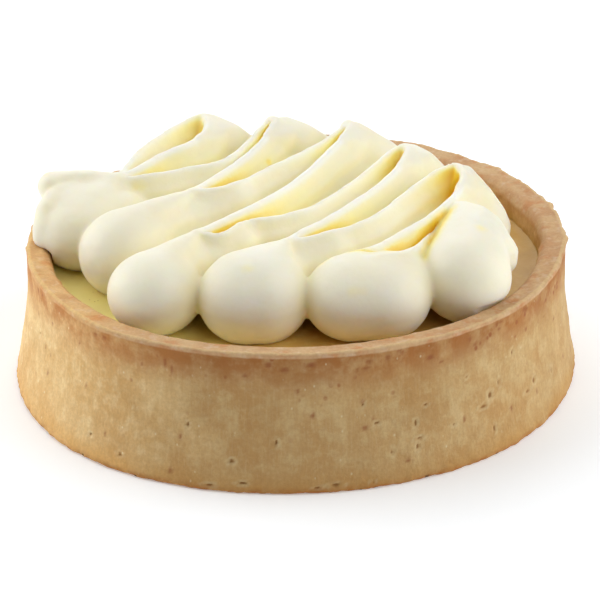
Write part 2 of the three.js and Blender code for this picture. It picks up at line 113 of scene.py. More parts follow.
# Burst bubbles in the wall: degrees, height, half width, half height.
BUBBLES = [(296.4, 11.0, 0.30, 0.16), (310.1, 8.1, 0.55, 0.22), (312.2, 9.3, 0.35, 0.42), (315.2, 10.5, 0.26, 0.42),
           (324.0, 6.8, 0.60, 0.20), (326.9, 7.6, 0.30, 0.42), (335.5, 6.6, 0.20, 0.42), (306.3, 13.3, 0.22, 0.18),
           (320.0, 13.9, 0.15, 0.40), (294.4, 6.2, 0.50, 0.22), (293.9, 8.6, 0.22, 0.38), (294.1, 5.1, 0.24, 0.45),
           (283.1, 12.7, 0.15, 0.26), (285.7, 9.6, 0.32, 0.18), (288.6, 9.5, 0.30, 0.17), (288.7, 5.1, 0.20, 0.42),
           (265.6, 7.7, 0.15, 0.40), (312.6, 4.2, 0.16, 0.40), (277.1, 1.2, 0.75, 0.20), (302.5, 6.9, 0.30, 0.16)]
# Darker, redder specks where butter browned: the same four numbers.
SPECKS = [(264.3, 19.4, 0.45, 0.42), (267.5, 18.6, 0.55, 0.40), (284.4, 19.1, 0.50, 0.32), (283.7, 18.2, 0.42, 0.30),
          (288.3, 19.4, 0.40, 0.45), (290.6, 20.1, 0.34, 0.30), (283.2, 9.3, 0.48, 0.32), (300.2, 16.9, 0.32, 0.30),
          (297.6, 18.0, 0.50, 0.36), (307.5, 19.1, 0.30, 0.40), (308.8, 18.0, 0.34, 0.34), (316.0, 19.8, 0.36, 0.28),
          (224.6, 19.4, 0.55, 0.30), (227.2, 19.5, 0.34, 0.34), (244.0, 17.2, 0.32, 0.60), (272.6, 19.3, 0.60, 0.30)]


def round_table(table, k, a):
    d = np.array([q[0] for q in table], float)
    v = np.array([q[k] for q in table], float)
    fine = np.arange(0, 360, 1.0)
    v = np.interp(fine, np.r_[d[-1] - 360, d, d[0] + 360], np.r_[v[-1], v, v[0]])
    w = np.exp(-np.linspace(-2, 2, 25) ** 2)
    v = np.convolve(np.r_[v[-12:], v, v[:12]], w / w.sum(), "valid")
    return np.interp(np.degrees(a) % 360, np.r_[fine, 360], np.r_[v, v[0]])


def rim_height(a):
    d = np.array([q[0] for q in RIM_HEIGHTS], float)
    z = np.array([q[1] for q in RIM_HEIGHTS], float)
    fine = np.arange(0, 360, 1.0)
    v = np.interp(fine, np.r_[d[-1] - 360, d, d[0] + 360], np.r_[z[-1], z, z[0]])
    k = np.exp(-np.linspace(-2, 2, 13) ** 2)
    v = np.convolve(np.r_[v[-6:], v, v[:6]], k / k.sum(), "valid")
    return np.interp(np.degrees(a) % 360, np.r_[fine, 360], np.r_[v, v[0]])


def along(points, step):
    """Resamples an outline so that its rows are step apart."""
    out = [points[0]]
    for a, b in zip(points[:-1], points[1:]):
        n = max(1, int(round(math.dist(a, b) / step)))
        out += [(a[0] + (b[0] - a[0]) * i / n, a[1] + (b[1] - a[1]) * i / n) for i in range(1, n + 1)]
    return out


def arc(cx, cz, r, a0, a1, n):
    return [(cx + r * math.cos(math.radians(a0 + (a1 - a0) * i / n)),
             cz + r * math.sin(math.radians(a0 + (a1 - a0) * i / n))) for i in range(n + 1)]


def case_rows():
    """Outline of the case from the middle of its underside, round the rim, to the middle of its floor."""
    zt = 20.9
    rows = [(0.0, 0), (14, 0), (27, 0), (36, 0), (39.5, 0)]
    rows += [(FOOT_R - 0.65, 0.0)] + arc(FOOT_R - 0.65, 0.65, 0.65, -75, 0, 4)
    n = 40
    rows += [(RIM_R + (FOOT_R - RIM_R) * (1 - i / n) ** 1.2, 0.65 + (FLARE_TOP - 0.65) * i / n) for i in range(1, n + 1)]
    rows += along([(RIM_R, FLARE_TOP), (RIM_R - 0.06, zt - 0.42)], 0.33)[1:]
    rows += arc(RIM_R - 0.48, zt - 0.42, 0.42, 15, 90, 4)
    inner = RIM_R - RIM_WALL
    rows += along([(RIM_R - 0.48, zt), (inner + 1.5, zt)], 0.26)[1:]
    rows += [(inner + 1.5 + 1.5 * math.cos(math.radians(t)), zt - 1.9 + 1.9 * math.sin(math.radians(t))) for t in range(98, 181, 9)]
    rows += along([(inner, zt - 1.9), (inner - 0.2, 15.0)], 0.36)[1:]
    rows += [(inner - 0.35, 11.0), (inner - 0.5, 5.4), (inner - 1.0, 4.4), (inner - 1.9, 4.0), (20, 4.0), (0, 4.0)]
    return np.array(rows, float)


def mesh_object(name, V, faces, smooth_shade=True):
    me = bpy.data.meshes.new(name)
    me.from_pydata((V * MM).tolist(), [], faces if isinstance(faces, list) else faces.tolist())
    me.validate()
    me.update()
    if smooth_shade:
        me.polygons.foreach_set("use_smooth", [True] * len(me.polygons))
    ob = bpy.data.objects.new(name, me)
    bpy.context.scene.collection.objects.link(ob)
    return ob


def lathe_faces(nrow, nseg, closed_start, closed_end):
    """Quads between rings of nseg vertices; the first and last rows may be single points."""
    faces = []
    start = []
    at = 0
    for r in range(nrow):
        single = (r == 0 and closed_start) or (r == nrow - 1 and closed_end)
        start.append((at, single))
        at += 1 if single else nseg
    for r in range(nrow - 1):
        (a, sa), (b, sb) = start[r], start[r + 1]
        for i in range(nseg):
            j = (i + 1) % nseg
            if sa:
                faces.append((a, b + j, b + i))
            elif sb:
                faces.append((a + i, a + j, b))
            else:
                faces.append((a + i, a + j, b + j, b + i))
    return faces, start


def add_value(ob, name, values):
    at = ob.data.attributes.new(name, "FLOAT", "POINT")
    at.data.foreach_set("value", np.asarray(values, np.float32))


def scattered(rng, count, a_range, z_range, width, height):
    return [(rng.uniform(*a_range), rng.uniform(*z_range), rng.uniform(*width), rng.uniform(*height))
            for _ in range(count)]


def spots(P0, wall, table, seed):
    """1 at the middle of each spot on the wall, 0 outside it, with an uneven edge; and the ring round it."""
    inside = np.zeros(P0.shape[:2])
    ring = np.zeros(P0.shape[:2])
    uneven = noise(P0, 1.6, seed) * 0.30 + noise(P0, 3.1, seed + 1) * 0.20
    A = np.arctan2(P0[..., 1], P0[..., 0])
    for a, z, w, h in table:
        da = (A - math.radians(a) + math.pi) % (2 * math.pi) - math.pi
        q = np.sqrt((da * RIM_R / w) ** 2 + ((P0[..., 2] - z) / h) ** 2) + uneven
        inside = np.maximum(inside, np.where(wall, smooth(1.5, 0.45, q), 0))
        ring = np.maximum(ring, np.where(wall, np.exp(-((q - 2.0) / 0.5) ** 2), 0))
    return inside, ring


def build_crust():
    rows = case_rows()
    n = len(rows)
    seg = 720
    tang = np.gradient(rows, axis=0)
    tang /= np.maximum(np.linalg.norm(tang, axis=1), 1e-9)[:, None]
    nr, nz = tang[:, 1], -tang[:, 0]
    a = np.arange(seg) / seg * 2 * math.pi
    R = np.repeat(rows[:, 0][:, None], seg, 1)
    Z = np.repeat(rows[:, 1][:, None], seg, 1)
    A = np.repeat(a[None, :], n, 0)
    P0 = np.stack([R * np.cos(A), R * np.sin(A), Z], -1)
    outer = smooth(RIM_R - 0.7, RIM_R - 0.1, R) * smooth(0.2, 1.2, Z)
    on_rim = smooth(19.9, 20.7, Z) * smooth(RIM_R - RIM_WALL - 0.4, RIM_R - RIM_WALL + 0.4, R)
    inside = (R < RIM_R - RIM_WALL + 0.3) & (Z > 15)
    # the wall keeps the faint upright drag marks of the tin it was baked in
    streak = noise(P0, (1.25, 1.25, 0.07), 3) * 0.6 + noise(P0, (2.4, 2.4, 0.12), 4) * 0.4
    broad = noise(P0, 0.16, 5)
    middle = noise(P0, 0.5, 6)
    small = noise(P0, 1.15, 7)
    grain = noise(P0, 2.3, 8)
    wall = streak * 0.022 + broad * 0.12 + middle * 0.045 + small * 0.026 + grain * 0.015
    rough_top = broad * 0.06 + middle * 0.06 + small * 0.045 + grain * 0.03
    inner_wall = broad * 0.16 + middle * 0.20 + small * 0.09 + grain * 0.03
    d = wall * outer * (1 - on_rim) + rough_top * on_rim + np.where(inside, inner_wall, 0) * (1 - on_rim)
    # foot: crumbly lower edge
    foot = smooth(3.0, 0.4, Z) * (R > FOOT_R - 2)
    d = d + foot * (small * 0.09 + middle * 0.08 + grain * 0.05)
    # burst bubbles, each with a low crumb of a lip, and the specks
    rng = np.random.default_rng(11)
    bubbles = BUBBLES + scattered(rng, 26, (-20, 262), (2.5, 13.5), (0.15, 0.42), (0.14, 0.42))
    bubbles += scattered(rng, 14, (0, 360), (0.9, 1.8), (0.25, 0.6), (0.14, 0.24))
    specks = SPECKS + scattered(rng, 44, (0, 360), (16.5, 20.0), (0.2, 0.42), (0.2, 0.42))
    specks += scattered(rng, 30, (0, 360), (1.6, 16.0), (0.16, 0.34), (0.2, 0.5))
    wallmask = (R > RIM_R - 0.75)
    pit, lip = spots(P0, wallmask, bubbles, 31)
    speck, _ = spots(P0, wallmask, specks, 41)
    d = d - pit * 0.26 + lip * 0.045 - speck * 0.03
    # the outer edge of the rim stands a little proud, as the tin left it
    bead = np.exp(-((R - (RIM_R - 0.40)) / 0.36) ** 2) * smooth(20.3, 20.75, Z)
    d = d + bead * (0.10 + 0.05 * middle)
    dish = np.exp(-((R - (RIM_R - 2.0)) / 1.0) ** 2) * (Z > 20.5)
    d = d - dish * 0.12
    R2 = R + nr[:, None] * d
    Z2 = Z + nz[:, None] * d
    up = smooth(0, 20.9, Z)
    swell = smooth(RIM_R - RIM_WALL + 0.1, RIM_R - 1, R) * smooth(30, 38, R)
    R2 = R2 + (round_table(OUT_OF_ROUND, 1, A) * up + round_table(OUT_OF_ROUND, 2, A) * (1 - up) ** 1.3
               + 0.05 * np.sin(5 * A + 0.3) + 0.04 * np.sin(8 * A + 1.7)) * swell
    inner_wave = 0.5 * np.sin(4 * A + 2.0) + 0.5 * np.sin(9 * A + 0.8)
    R2 = R2 + 0.22 * inner_wave * smooth(RIM_R - 2.0, RIM_R - RIM_WALL, R) * smooth(14, 18, Z)
    rise = smooth(FLARE_TOP, 20.9, Z)
    Z2 = Z2 + (rim_height(A) - 20.9) * rise
    Z2 = np.where(Z < 0.02, np.maximum(Z2, 0), Z2)
    Z2 = np.where((Z < 0.02) & (R < FOOT_R - 0.95), 0, np.maximum(Z2, 0.0))
    # crumbs that stand out of the rim's outer edge, and the chips between them
    near_edge = np.exp(-((R - (RIM_R - 0.2)) / 0.55) ** 2 - ((Z - 20.75) / 0.7) ** 2)
    ragged = noise(P0, 0.62, 51)
    nib = smooth(0.30, 0.70, ragged) * 0.5 + smooth(0.35, 0.6, noise(P0, 1.3, 52)) * 0.35
    chip = smooth(-0.30, -0.65, ragged) + smooth(-0.35, -0.6, noise(P0, 1.15, 53)) * 0.6
    for a0, w, h in NIBS:
        da = (A - math.radians(a0) + math.pi) % (2 * math.pi) - math.pi
        nib = nib + h * np.exp(-(da * RIM_R / w) ** 2)
    R2 = R2 + near_edge * (0.15 * nib - 0.06 * chip)
    Z2 = Z2 + near_edge * (0.08 * nib - 0.09 * chip)
    V = np.stack([R2 * np.cos(A), R2 * np.sin(A), Z2], -1)
    faces, start = lathe_faces(n, seg, True, True)
    verts = np.vstack([V[0, :1]] + [V[i] for i in range(1, n - 1)] + [V[-1, :1]])
    flat = lambda X: np.concatenate([X[0, :1]] + [X[i] for i in range(1, n - 1)] + [X[-1, :1]])
    ob = mesh_object("crust_baked", verts, faces)
    add_value(ob, "pit", flat(pit))
    add_value(ob, "lip", flat(lip * (1 - pit)))
    add_value(ob, "speck", flat(speck))
    # the wall's tone: painted light and shade round the case, plus a little random tone
    add_value(ob, "pale", flat(round_table(CASE_TONE_AND_PAINTED_LIGHT, 1, A) + 0.10 * broad))
    add_value(ob, "rim", flat(np.maximum(on_rim, np.where(R < RIM_R - 0.9, smooth(18.5, 20.2, Z), 0))))
    add_value(ob, "edge", flat(bead))
    add_value(ob, "inner", flat(np.where(R < RIM_R - RIM_WALL + 1.7, smooth(20.6, 18.2, Z + 0.5 * broad), 0.0)))
    add_value(ob, "high", flat(Z))
    return ob


# ---------------------------------------------------------------- filling
def build_filling():
    seg = 300
    rad = np.r_[0.0, np.linspace(1.5, 30, 30), np.linspace(30.4, 35.3, 20), [35.55, 35.75, 35.9, 36.02]]
    a = np.arange(seg) / seg * 2 * math.pi
    rows = [(r, FILLING_TOP + 0.62 * math.exp(-(36.02 - r) / 0.9)) for r in rad]
    rows += [(36.0, 15.4), (35.7, 12.0), (35.4, 6.5), (34.6, 4.5), (30, 4.3), (0, 4.3)]
    rows = np.array(rows)
    n = len(rows)
    R = np.repeat(rows[:, 0][:, None], seg, 1)
    Z = np.repeat(rows[:, 1][:, None], seg, 1)
    A = np.repeat(a[None, :], n, 0)
    P0 = np.stack([R * np.cos(A), R * np.sin(A), Z], -1)
    up = Z > 16
    thick = 0.8 * smooth(-8, -30, P0[..., 0])
    Z2 = Z + np.where(up, thick + noise(P0, 0.14, 21) * 0.12 + noise(P0, 0.45, 22) * 0.06 + noise(P0, 1.3, 23) * 0.025, 0)
    inner_wave = 0.5 * np.sin(4 * A + 2.0) + 0.5 * np.sin(9 * A + 0.8)
    R2 = R + np.where((R > 34) & (Z > 10), 0.2 * inner_wave * smooth(34, 36, R), 0)
    V = np.stack([R2 * np.cos(A), R2 * np.sin(A), Z2], -1)
    faces, _ = lathe_faces(n, seg, True, True)
    faces = [f[::-1] for f in faces]
    verts = np.vstack([V[0, :1]] + [V[i] for i in range(1, n - 1)] + [V[-1, :1]])
    return mesh_object("filling_curd", verts, faces)


# ------------------------------------------------------------------ cream
# The piped ribbon is drawn to and fro across the tart. Each stroke runs from
# the merge behind one bulb, up to a hood where it turns, and down again to the
# next merge; the bulbs hang off the merges at the front edge. Millimetres.
COMING = [
    [(-23, 15.3, 28.9), (-19.9, 19.8, 29.4), (-16, 24.7, 29.8)],
    [(-21.4, 7.9, 27.9), (-15.5, 9.6, 28.2), (-10.7, 10.8, 28.7), (-6.9, 16.2, 29.3), (-4, 22.8, 29.8)],
    [(-9.3, 2.7, 28.1), (-3.6, 8.2, 28.5), (1.3, 12.3, 29.1), (5.2, 16.6, 29.5), (7.7, 20.5, 29.8)],
    [(-10.5, -13.3, 27.5), (-6.9, -9.9, 27.8), (-1.8, -8.7, 28.1), (2.4, -6.7, 28.4), (8.8, 1.1, 29), (12.3, 6.8, 29.4), (15.3, 11.7, 29.7)],
    [(2.9, -15.2, 27.7), (8, -13.1, 28.1), (11.7, -10.3, 28.5), (15.6, -4.8, 29), (19.5, 1.1, 29.4), (22.2, 4, 29.7)],
]
HOOD = [
    [(-13.9, 26.1, 29.9), (-13.1, 23.3, 29.8), (-13.8, 19.2, 29.5)],
    [(-3, 23.9, 29.9), (-2.7, 23.1, 29.8)],
    [(8.6, 21.7, 29.9), (8.9, 20.9, 29.8)],
    [(16.7, 12.6, 29.8), (17.2, 10.8, 29.7), (16.7, 9, 29.5)],
    [(24, 4.9, 29.8), (24.9, 2, 29.7), (24.7, -0.9, 29.5)],
]
GOING = [
    [(-15.6, 16.9, 29.2), (-19.3, 14.4, 28.7), (-23.3, 10.2, 28.1)],
    [(-3.3, 21.1, 29.5), (-4.7, 17.1, 29.2), (-6.9, 12.9, 28.7), (-10.2, 7.9, 28.3)],
    [(8.1, 18.5, 29.5), (5.6, 13, 29.2), (1.9, 5.6, 28.7), (-2.6, -1.1, 28.3), (-8.2, -6.9, 27.9)],
    [(15.9, 6.5, 29.3), (12.6, 0, 28.9), (9.5, -4.5, 28.7), (4.7, -10.4, 28.2), (1.1, -13.8, 27.9)],
    [(23.8, -4.1, 29.3), (22.2, -7.1, 28.9), (19, -11.5, 28.4), (16.1, -14.4, 28), (13.3, -17.2, 27.6)],
]
MERGES = [(-26.8, 7.6, 27.5), (-15.2, 1.7, 27.7), (-14.2, -12.8, 27.5), (-1.3, -16.4, 27.4), (10.4, -19.2, 27)]
SHOULDER = [(-10.6, 23.6, 26, 3.8), (0.9, 23.2, 25.7, 3.8), (11, 20.8, 25.2, 3.8), (18.9, 11.2, 26.3, 3.4), (26.5, 1.2, 25.4, 3.3)]
FOOT = [(0.9, 0.4, 6.2), (0.9, 0.4, 6.2), (0.8, 0.3, 6), (0.8, 0.2, 5.6), (0.3, -0.2, 5)]
TAIL = [(-36, 6.7, 27.05, 2.25), (-33.6, 7.2, 27.5, 1.65), (-31.1, 7.6, 27.9, 1.2), (-26.2, 8, 27.8, 0.6)]
LAST = [(8, -22.9, 27.5), (11.3, -23, 27.6), (15.3, -21.8, 27.6), (17.5, -18.6, 27.5), (19, -14.6, 27.2), (21.2, -10, 26.6), (23.1, -7.6, 26.4)]
DROP = [(24.3, -19.7, 23, 6.6), (25.3, -12.1, 24.9, 5.1), (24.4, -8.2, 27.6, 1.9), (23.8, -6.5, 28.4, 0.55)]
FLAP = [(24.5, -8.4, 27.9, 0.9), (26.6, -9.8, 28, 1.2), (28.4, -11.3, 26.8, 1.3), (29.8, -12.6, 25.5, 1.35), (30.7, -13.6, 24, 1.4), (30.6, -14, 22.6, 1.3), (29.8, -14.2, 21.5, 1)]
# Slits: x, y, z in millimetres, then the width of the cut and the strength of its yellow, painted shade; the second
# slit is too narrow to be cut and is only painted.
SLITS = [
    [(7.8, -20.9, 25.7, 0.4, 0.95), (9.6, -20.8, 25.5, 0.45, 0.95), (12.1, -20.4, 25.5, 0.5, 0.95), (14.6, -19.3, 25.5, 0.6, 0.95), (16.6, -17, 25.5, 0.6, 0.95), (18.4, -14, 25.7, 0.5, 0.95), (20.3, -11, 26.1, 0.42, 0.95), (21.8, -8.8, 26.2, 0.35, 0.9)],
    [(22.8, -9.3, 27.6, 0.1, 0.8), (21.8, -11.8, 26.6, 0.15, 0.8), (21, -13.8, 25.6, 0.15, 0.8), (20.1, -16.6, 24.9, 0.15, 0.8), (19.1, -19.2, 24.2, 0.15, 0.8), (18.3, -20.9, 23, 0.15, 0.8)],
]
CAP = [(-12.6, 25.4, 28.3, 2.1), (-1.2, 24.2, 27.8, 2.4), (9.5, 22, 28, 2), (17.8, 12.6, 28.2, 1.9), (25.3, 4.6, 28.1, 1.8)]
LOBE = [(-34.9, 4.6, 27, 1.2), (-35.7, 3.4, 26.1, 1.7), (-36.3, 1.8, 25.1, 2.1), (-36.4, 0.4, 23.2, 2.4), (-35.9, 0, 20.8, 2.7)]
# Small nicks: x, y, z, size and strength of a yellow spot of painted shade; no dent is made for them.
NICKS = [(-6.68, -25.96, 27.86, 0.45, 0.7), (8, -28.94, 25.35, 0.45, 0.7), (26.62, -17, 29.43, 0.55, 0.95), (3.56, -16.66, 25.56, 0.5, 0.7), (-23.41, 6.8, 26.8, 0.6, 0.7), (-3.67, 14.44, 27.02, 0.7, 0.95), (-29.2, -9.6, 18.2, 1.4, 0.8)]
BULGE = [(12.8, -22.2, 24.6, 3.4), (15.7, -21.6, 24.9, 2.8), (16.2, -22.6, 23.4, 3.2)]
BULBS = [(-31.4, 1.9, 21.8), (-24.8, -7.1, 22), (-20.1, -20.6, 21.9), (-6, -22.7, 21.9), (10.2, -23.4, 21.9)]
WEB = [0, 7.0, 7.0, 7.0, 0]
BULB_SIZES = [(7.2, 5.7, 0), (6.8, 6.5, 0), (6.9, 5.95, 0), (6.9, 6.6, 1.1), (6.75, 6.05, 2.35)]
LEAN = [0.35, 0.35, 0.35, 0.35, 0.2]
CREST_R = 0.5
COME_R = 0.34
GO_R = 0.54
BODY_R = 6.2
BODY_Z = 21.8
GRID = 0.33


def catmull(P, n, alpha=0.5):
    P = np.array(P, float)
    if len(P) == 2:
        t = np.linspace(0, 1, n)[:, None]
        return P[0] * (1 - t) + P[1] * t
    Q = np.vstack([2 * P[0] - P[1], P, 2 * P[-1] - P[-2]])
    out = []
    for i in range(1, len(Q) - 2):
        p0, p1, p2, p3 = Q[i - 1:i + 3]
        t0 = 0
        t1 = t0 + np.linalg.norm(p1 - p0) ** alpha
        t2 = t1 + np.linalg.norm(p2 - p1) ** alpha
        t3 = t2 + np.linalg.norm(p3 - p2) ** alpha
        t = np.linspace(t1, t2, n, endpoint=(i == len(Q) - 3))[:, None]
        a1 = (t1 - t) / (t1 - t0) * p0 + (t - t0) / (t1 - t0) * p1
        a2 = (t2 - t) / (t2 - t1) * p1 + (t - t1) / (t2 - t1) * p2
        a3 = (t3 - t) / (t3 - t2) * p2 + (t - t2) / (t3 - t2) * p3
        b1 = (t2 - t) / (t2 - t0) * a1 + (t - t0) / (t2 - t0) * a2
        b2 = (t3 - t) / (t3 - t1) * a2 + (t - t1) / (t3 - t1) * a3
        out.append((t2 - t) / (t2 - t1) * b1 + (t - t1) / (t2 - t1) * b2)
    return np.vstack(out)


def resample(C, step):
    d = np.r_[0, np.cumsum(np.linalg.norm(np.diff(C, axis=0), axis=1))]
    n = max(2, int(math.ceil(d[-1] / step)) + 1)
    s = np.linspace(0, d[-1], n)
    return np.stack([np.interp(s, d, C[:, k]) for k in range(C.shape[1])], 1)


def blob(B, rb, C, rc):
    return np.array([*B, rb, *C, rc], float)


def field(groups, h, lo, hi, k=0.35, margin=2.0):
    """Signed distance on a grid to groups of tapered rods, each group blended into the ones before it."""
    lo = np.array(lo, float)
    n = np.ceil((np.array(hi) - lo) / h).astype(int) + 1
    ax = [lo[i] + h * np.arange(n[i]) for i in range(3)]
    F = None
    for g in groups:
        G = np.full(n, margin, np.float32)
        sz = g.get("sz", 1.0)
        for e in g["el"]:
            B, rb, C, rc = e[0:3], e[3], e[4:7], e[7]
            a = np.minimum(B - rb, C - rc) - margin
            b = np.maximum(B + rb, C + rc) + margin
            i0 = np.clip(np.floor((a - lo) / h).astype(int), 0, n)
            i1 = np.clip(np.ceil((b - lo) / h).astype(int) + 1, 0, n)
            if np.any(i1 <= i0):
                continue
            X = (ax[0][i0[0]:i1[0]][:, None, None] - B[0]).astype(np.float32)
            Y = (ax[1][i0[1]:i1[1]][None, :, None] - B[1]).astype(np.float32)
            Z = ((ax[2][i0[2]:i1[2]][None, None, :] - B[2]) * sz).astype(np.float32)
            D = (C - B) * [1, 1, sz]
            L2 = max(float(D @ D), 1e-9)
            if g.get("round"):
                L = math.sqrt(L2)
                s = (rb - rc) / L
                if abs(s) >= 0.999:
                    t = np.float32(0 if s > 0 else 1)
                else:
                    y = (X * D[0] + Y * D[1] + Z * D[2]) / L
                    w = np.sqrt(np.maximum(X * X + Y * Y + Z * Z - y * y, 0))
                    t = np.clip((y - w * (s / math.sqrt(1 - s * s))) / L, 0, 1).astype(np.float32)
            else:
                t = np.clip((X * D[0] + Y * D[1] + Z * D[2]) / L2, 0, 1).astype(np.float32)
            r = rc + (rb - rc) * (1 - t)
            d = np.sqrt((X - t * D[0]) ** 2 + (Y - t * D[1]) ** 2 + (Z - t * D[2]) ** 2) - r
            S = G[i0[0]:i1[0], i0[1]:i1[1], i0[2]:i1[2]]
            np.minimum(S, d, out=S)
        if F is None:
            F = G
        else:
            kk = g.get("k", k)
            m = np.maximum(kk - np.abs(F - G), 0)
            F = np.minimum(F, G) - m * m / (4 * kk)
    return F, lo, ax


def surface_nets(f, lo, h):
    s = f < 0
    nx, ny, nz = f.shape
    c = np.zeros((nx - 1, ny - 1, nz - 1), np.int8)
    for i in (0, 1):
        for j in (0, 1):
            for k in (0, 1):
                c += s[i:nx - 1 + i, j:ny - 1 + j, k:nz - 1 + k]
    act = (c > 0) & (c < 8)
    I = np.argwhere(act)
    idx = -np.ones(act.shape, np.int64)
    idx[act] = np.arange(len(I))
    acc = np.zeros((len(I), 3))
    cnt = np.zeros(len(I))
    cor = [(0, 0, 0), (1, 0, 0), (0, 1, 0), (1, 1, 0), (0, 0, 1), (1, 0, 1), (0, 1, 1), (1, 1, 1)]
    edges = [(0, 1), (2, 3), (4, 5), (6, 7), (0, 2), (1, 3), (4, 6), (5, 7), (0, 4), (1, 5), (2, 6), (3, 7)]
    vals = [f[I[:, 0] + a, I[:, 1] + b, I[:, 2] + cc] for a, b, cc in cor]
    for a, b in edges:
        fa, fb = vals[a], vals[b]
        m = (fa < 0) != (fb < 0)
        t = np.where(m, fa / np.where(m, fa - fb, 1), 0)
        pa, pb = np.array(cor[a], float), np.array(cor[b], float)
        acc += np.where(m[:, None], pa + (pb - pa) * t[:, None], 0)
        cnt += m
    V = (I + acc / cnt[:, None]) * h + lo
    faces = []
    for axis in range(3):
        sl0, sl1 = [slice(None)] * 3, [slice(None)] * 3
        sl0[axis], sl1[axis] = slice(0, -1), slice(1, None)
        a, b = s[tuple(sl0)], s[tuple(sl1)]
        E = np.argwhere(a != b)
        o1, o2 = [x for x in range(3) if x != axis]
        if axis == 1:
            o1, o2 = o2, o1
        ok = (E[:, o1] > 0) & (E[:, o2] > 0) & (E[:, o1] < f.shape[o1] - 1) & (E[:, o2] < f.shape[o2] - 1)
        E = E[ok]
        first = a[E[:, 0], E[:, 1], E[:, 2]]

        def cell(d1, d2):
            q = E.copy()
            q[:, o1] -= d1
            q[:, o2] -= d2
            return idx[q[:, 0], q[:, 1], q[:, 2]]

        q = np.stack([cell(1, 1), cell(0, 1), cell(0, 0), cell(1, 0)], 1)
        q[~first] = q[~first][:, ::-1]
        faces.append(q)
    return V, np.vstack(faces)


def strokes():
    """The crest line of each stroke, with the index of its turn at the hood."""
    out = []
    start = TAIL[-1][:3]
    for i in range(5):
        C = resample(catmull([start] + COMING[i] + HOOD[i] + GOING[i] + [MERGES[i]], 16), 0.4)
        out.append((C, int(np.argmin(np.linalg.norm(C - np.array(HOOD[i]).mean(0), axis=1)))))
        start = MERGES[i]
    return out


def length(C):
    return np.r_[0, np.cumsum(np.linalg.norm(np.diff(C, axis=0), axis=1))]


def outward(C):
    """Level unit vectors to the left of the line's run."""
    tan = np.gradient(C[:, :2], axis=0)
    for _ in range(3):
        tan[1:-1] = (tan[:-2] + 2 * tan[1:-1] + tan[2:]) / 4
    tan /= np.linalg.norm(tan, axis=1)[:, None]
    return np.stack([-tan[:, 1], tan[:, 0]], 1)


def crest_radius(from_hood, from_end):
    """The ribbon's cut edge is sharp where it comes up and broad where it goes down."""
    return COME_R + (GO_R - COME_R) * smooth(-4.0, 1.5, from_hood) * smooth(0.0, 3.0, from_end + 0.6)


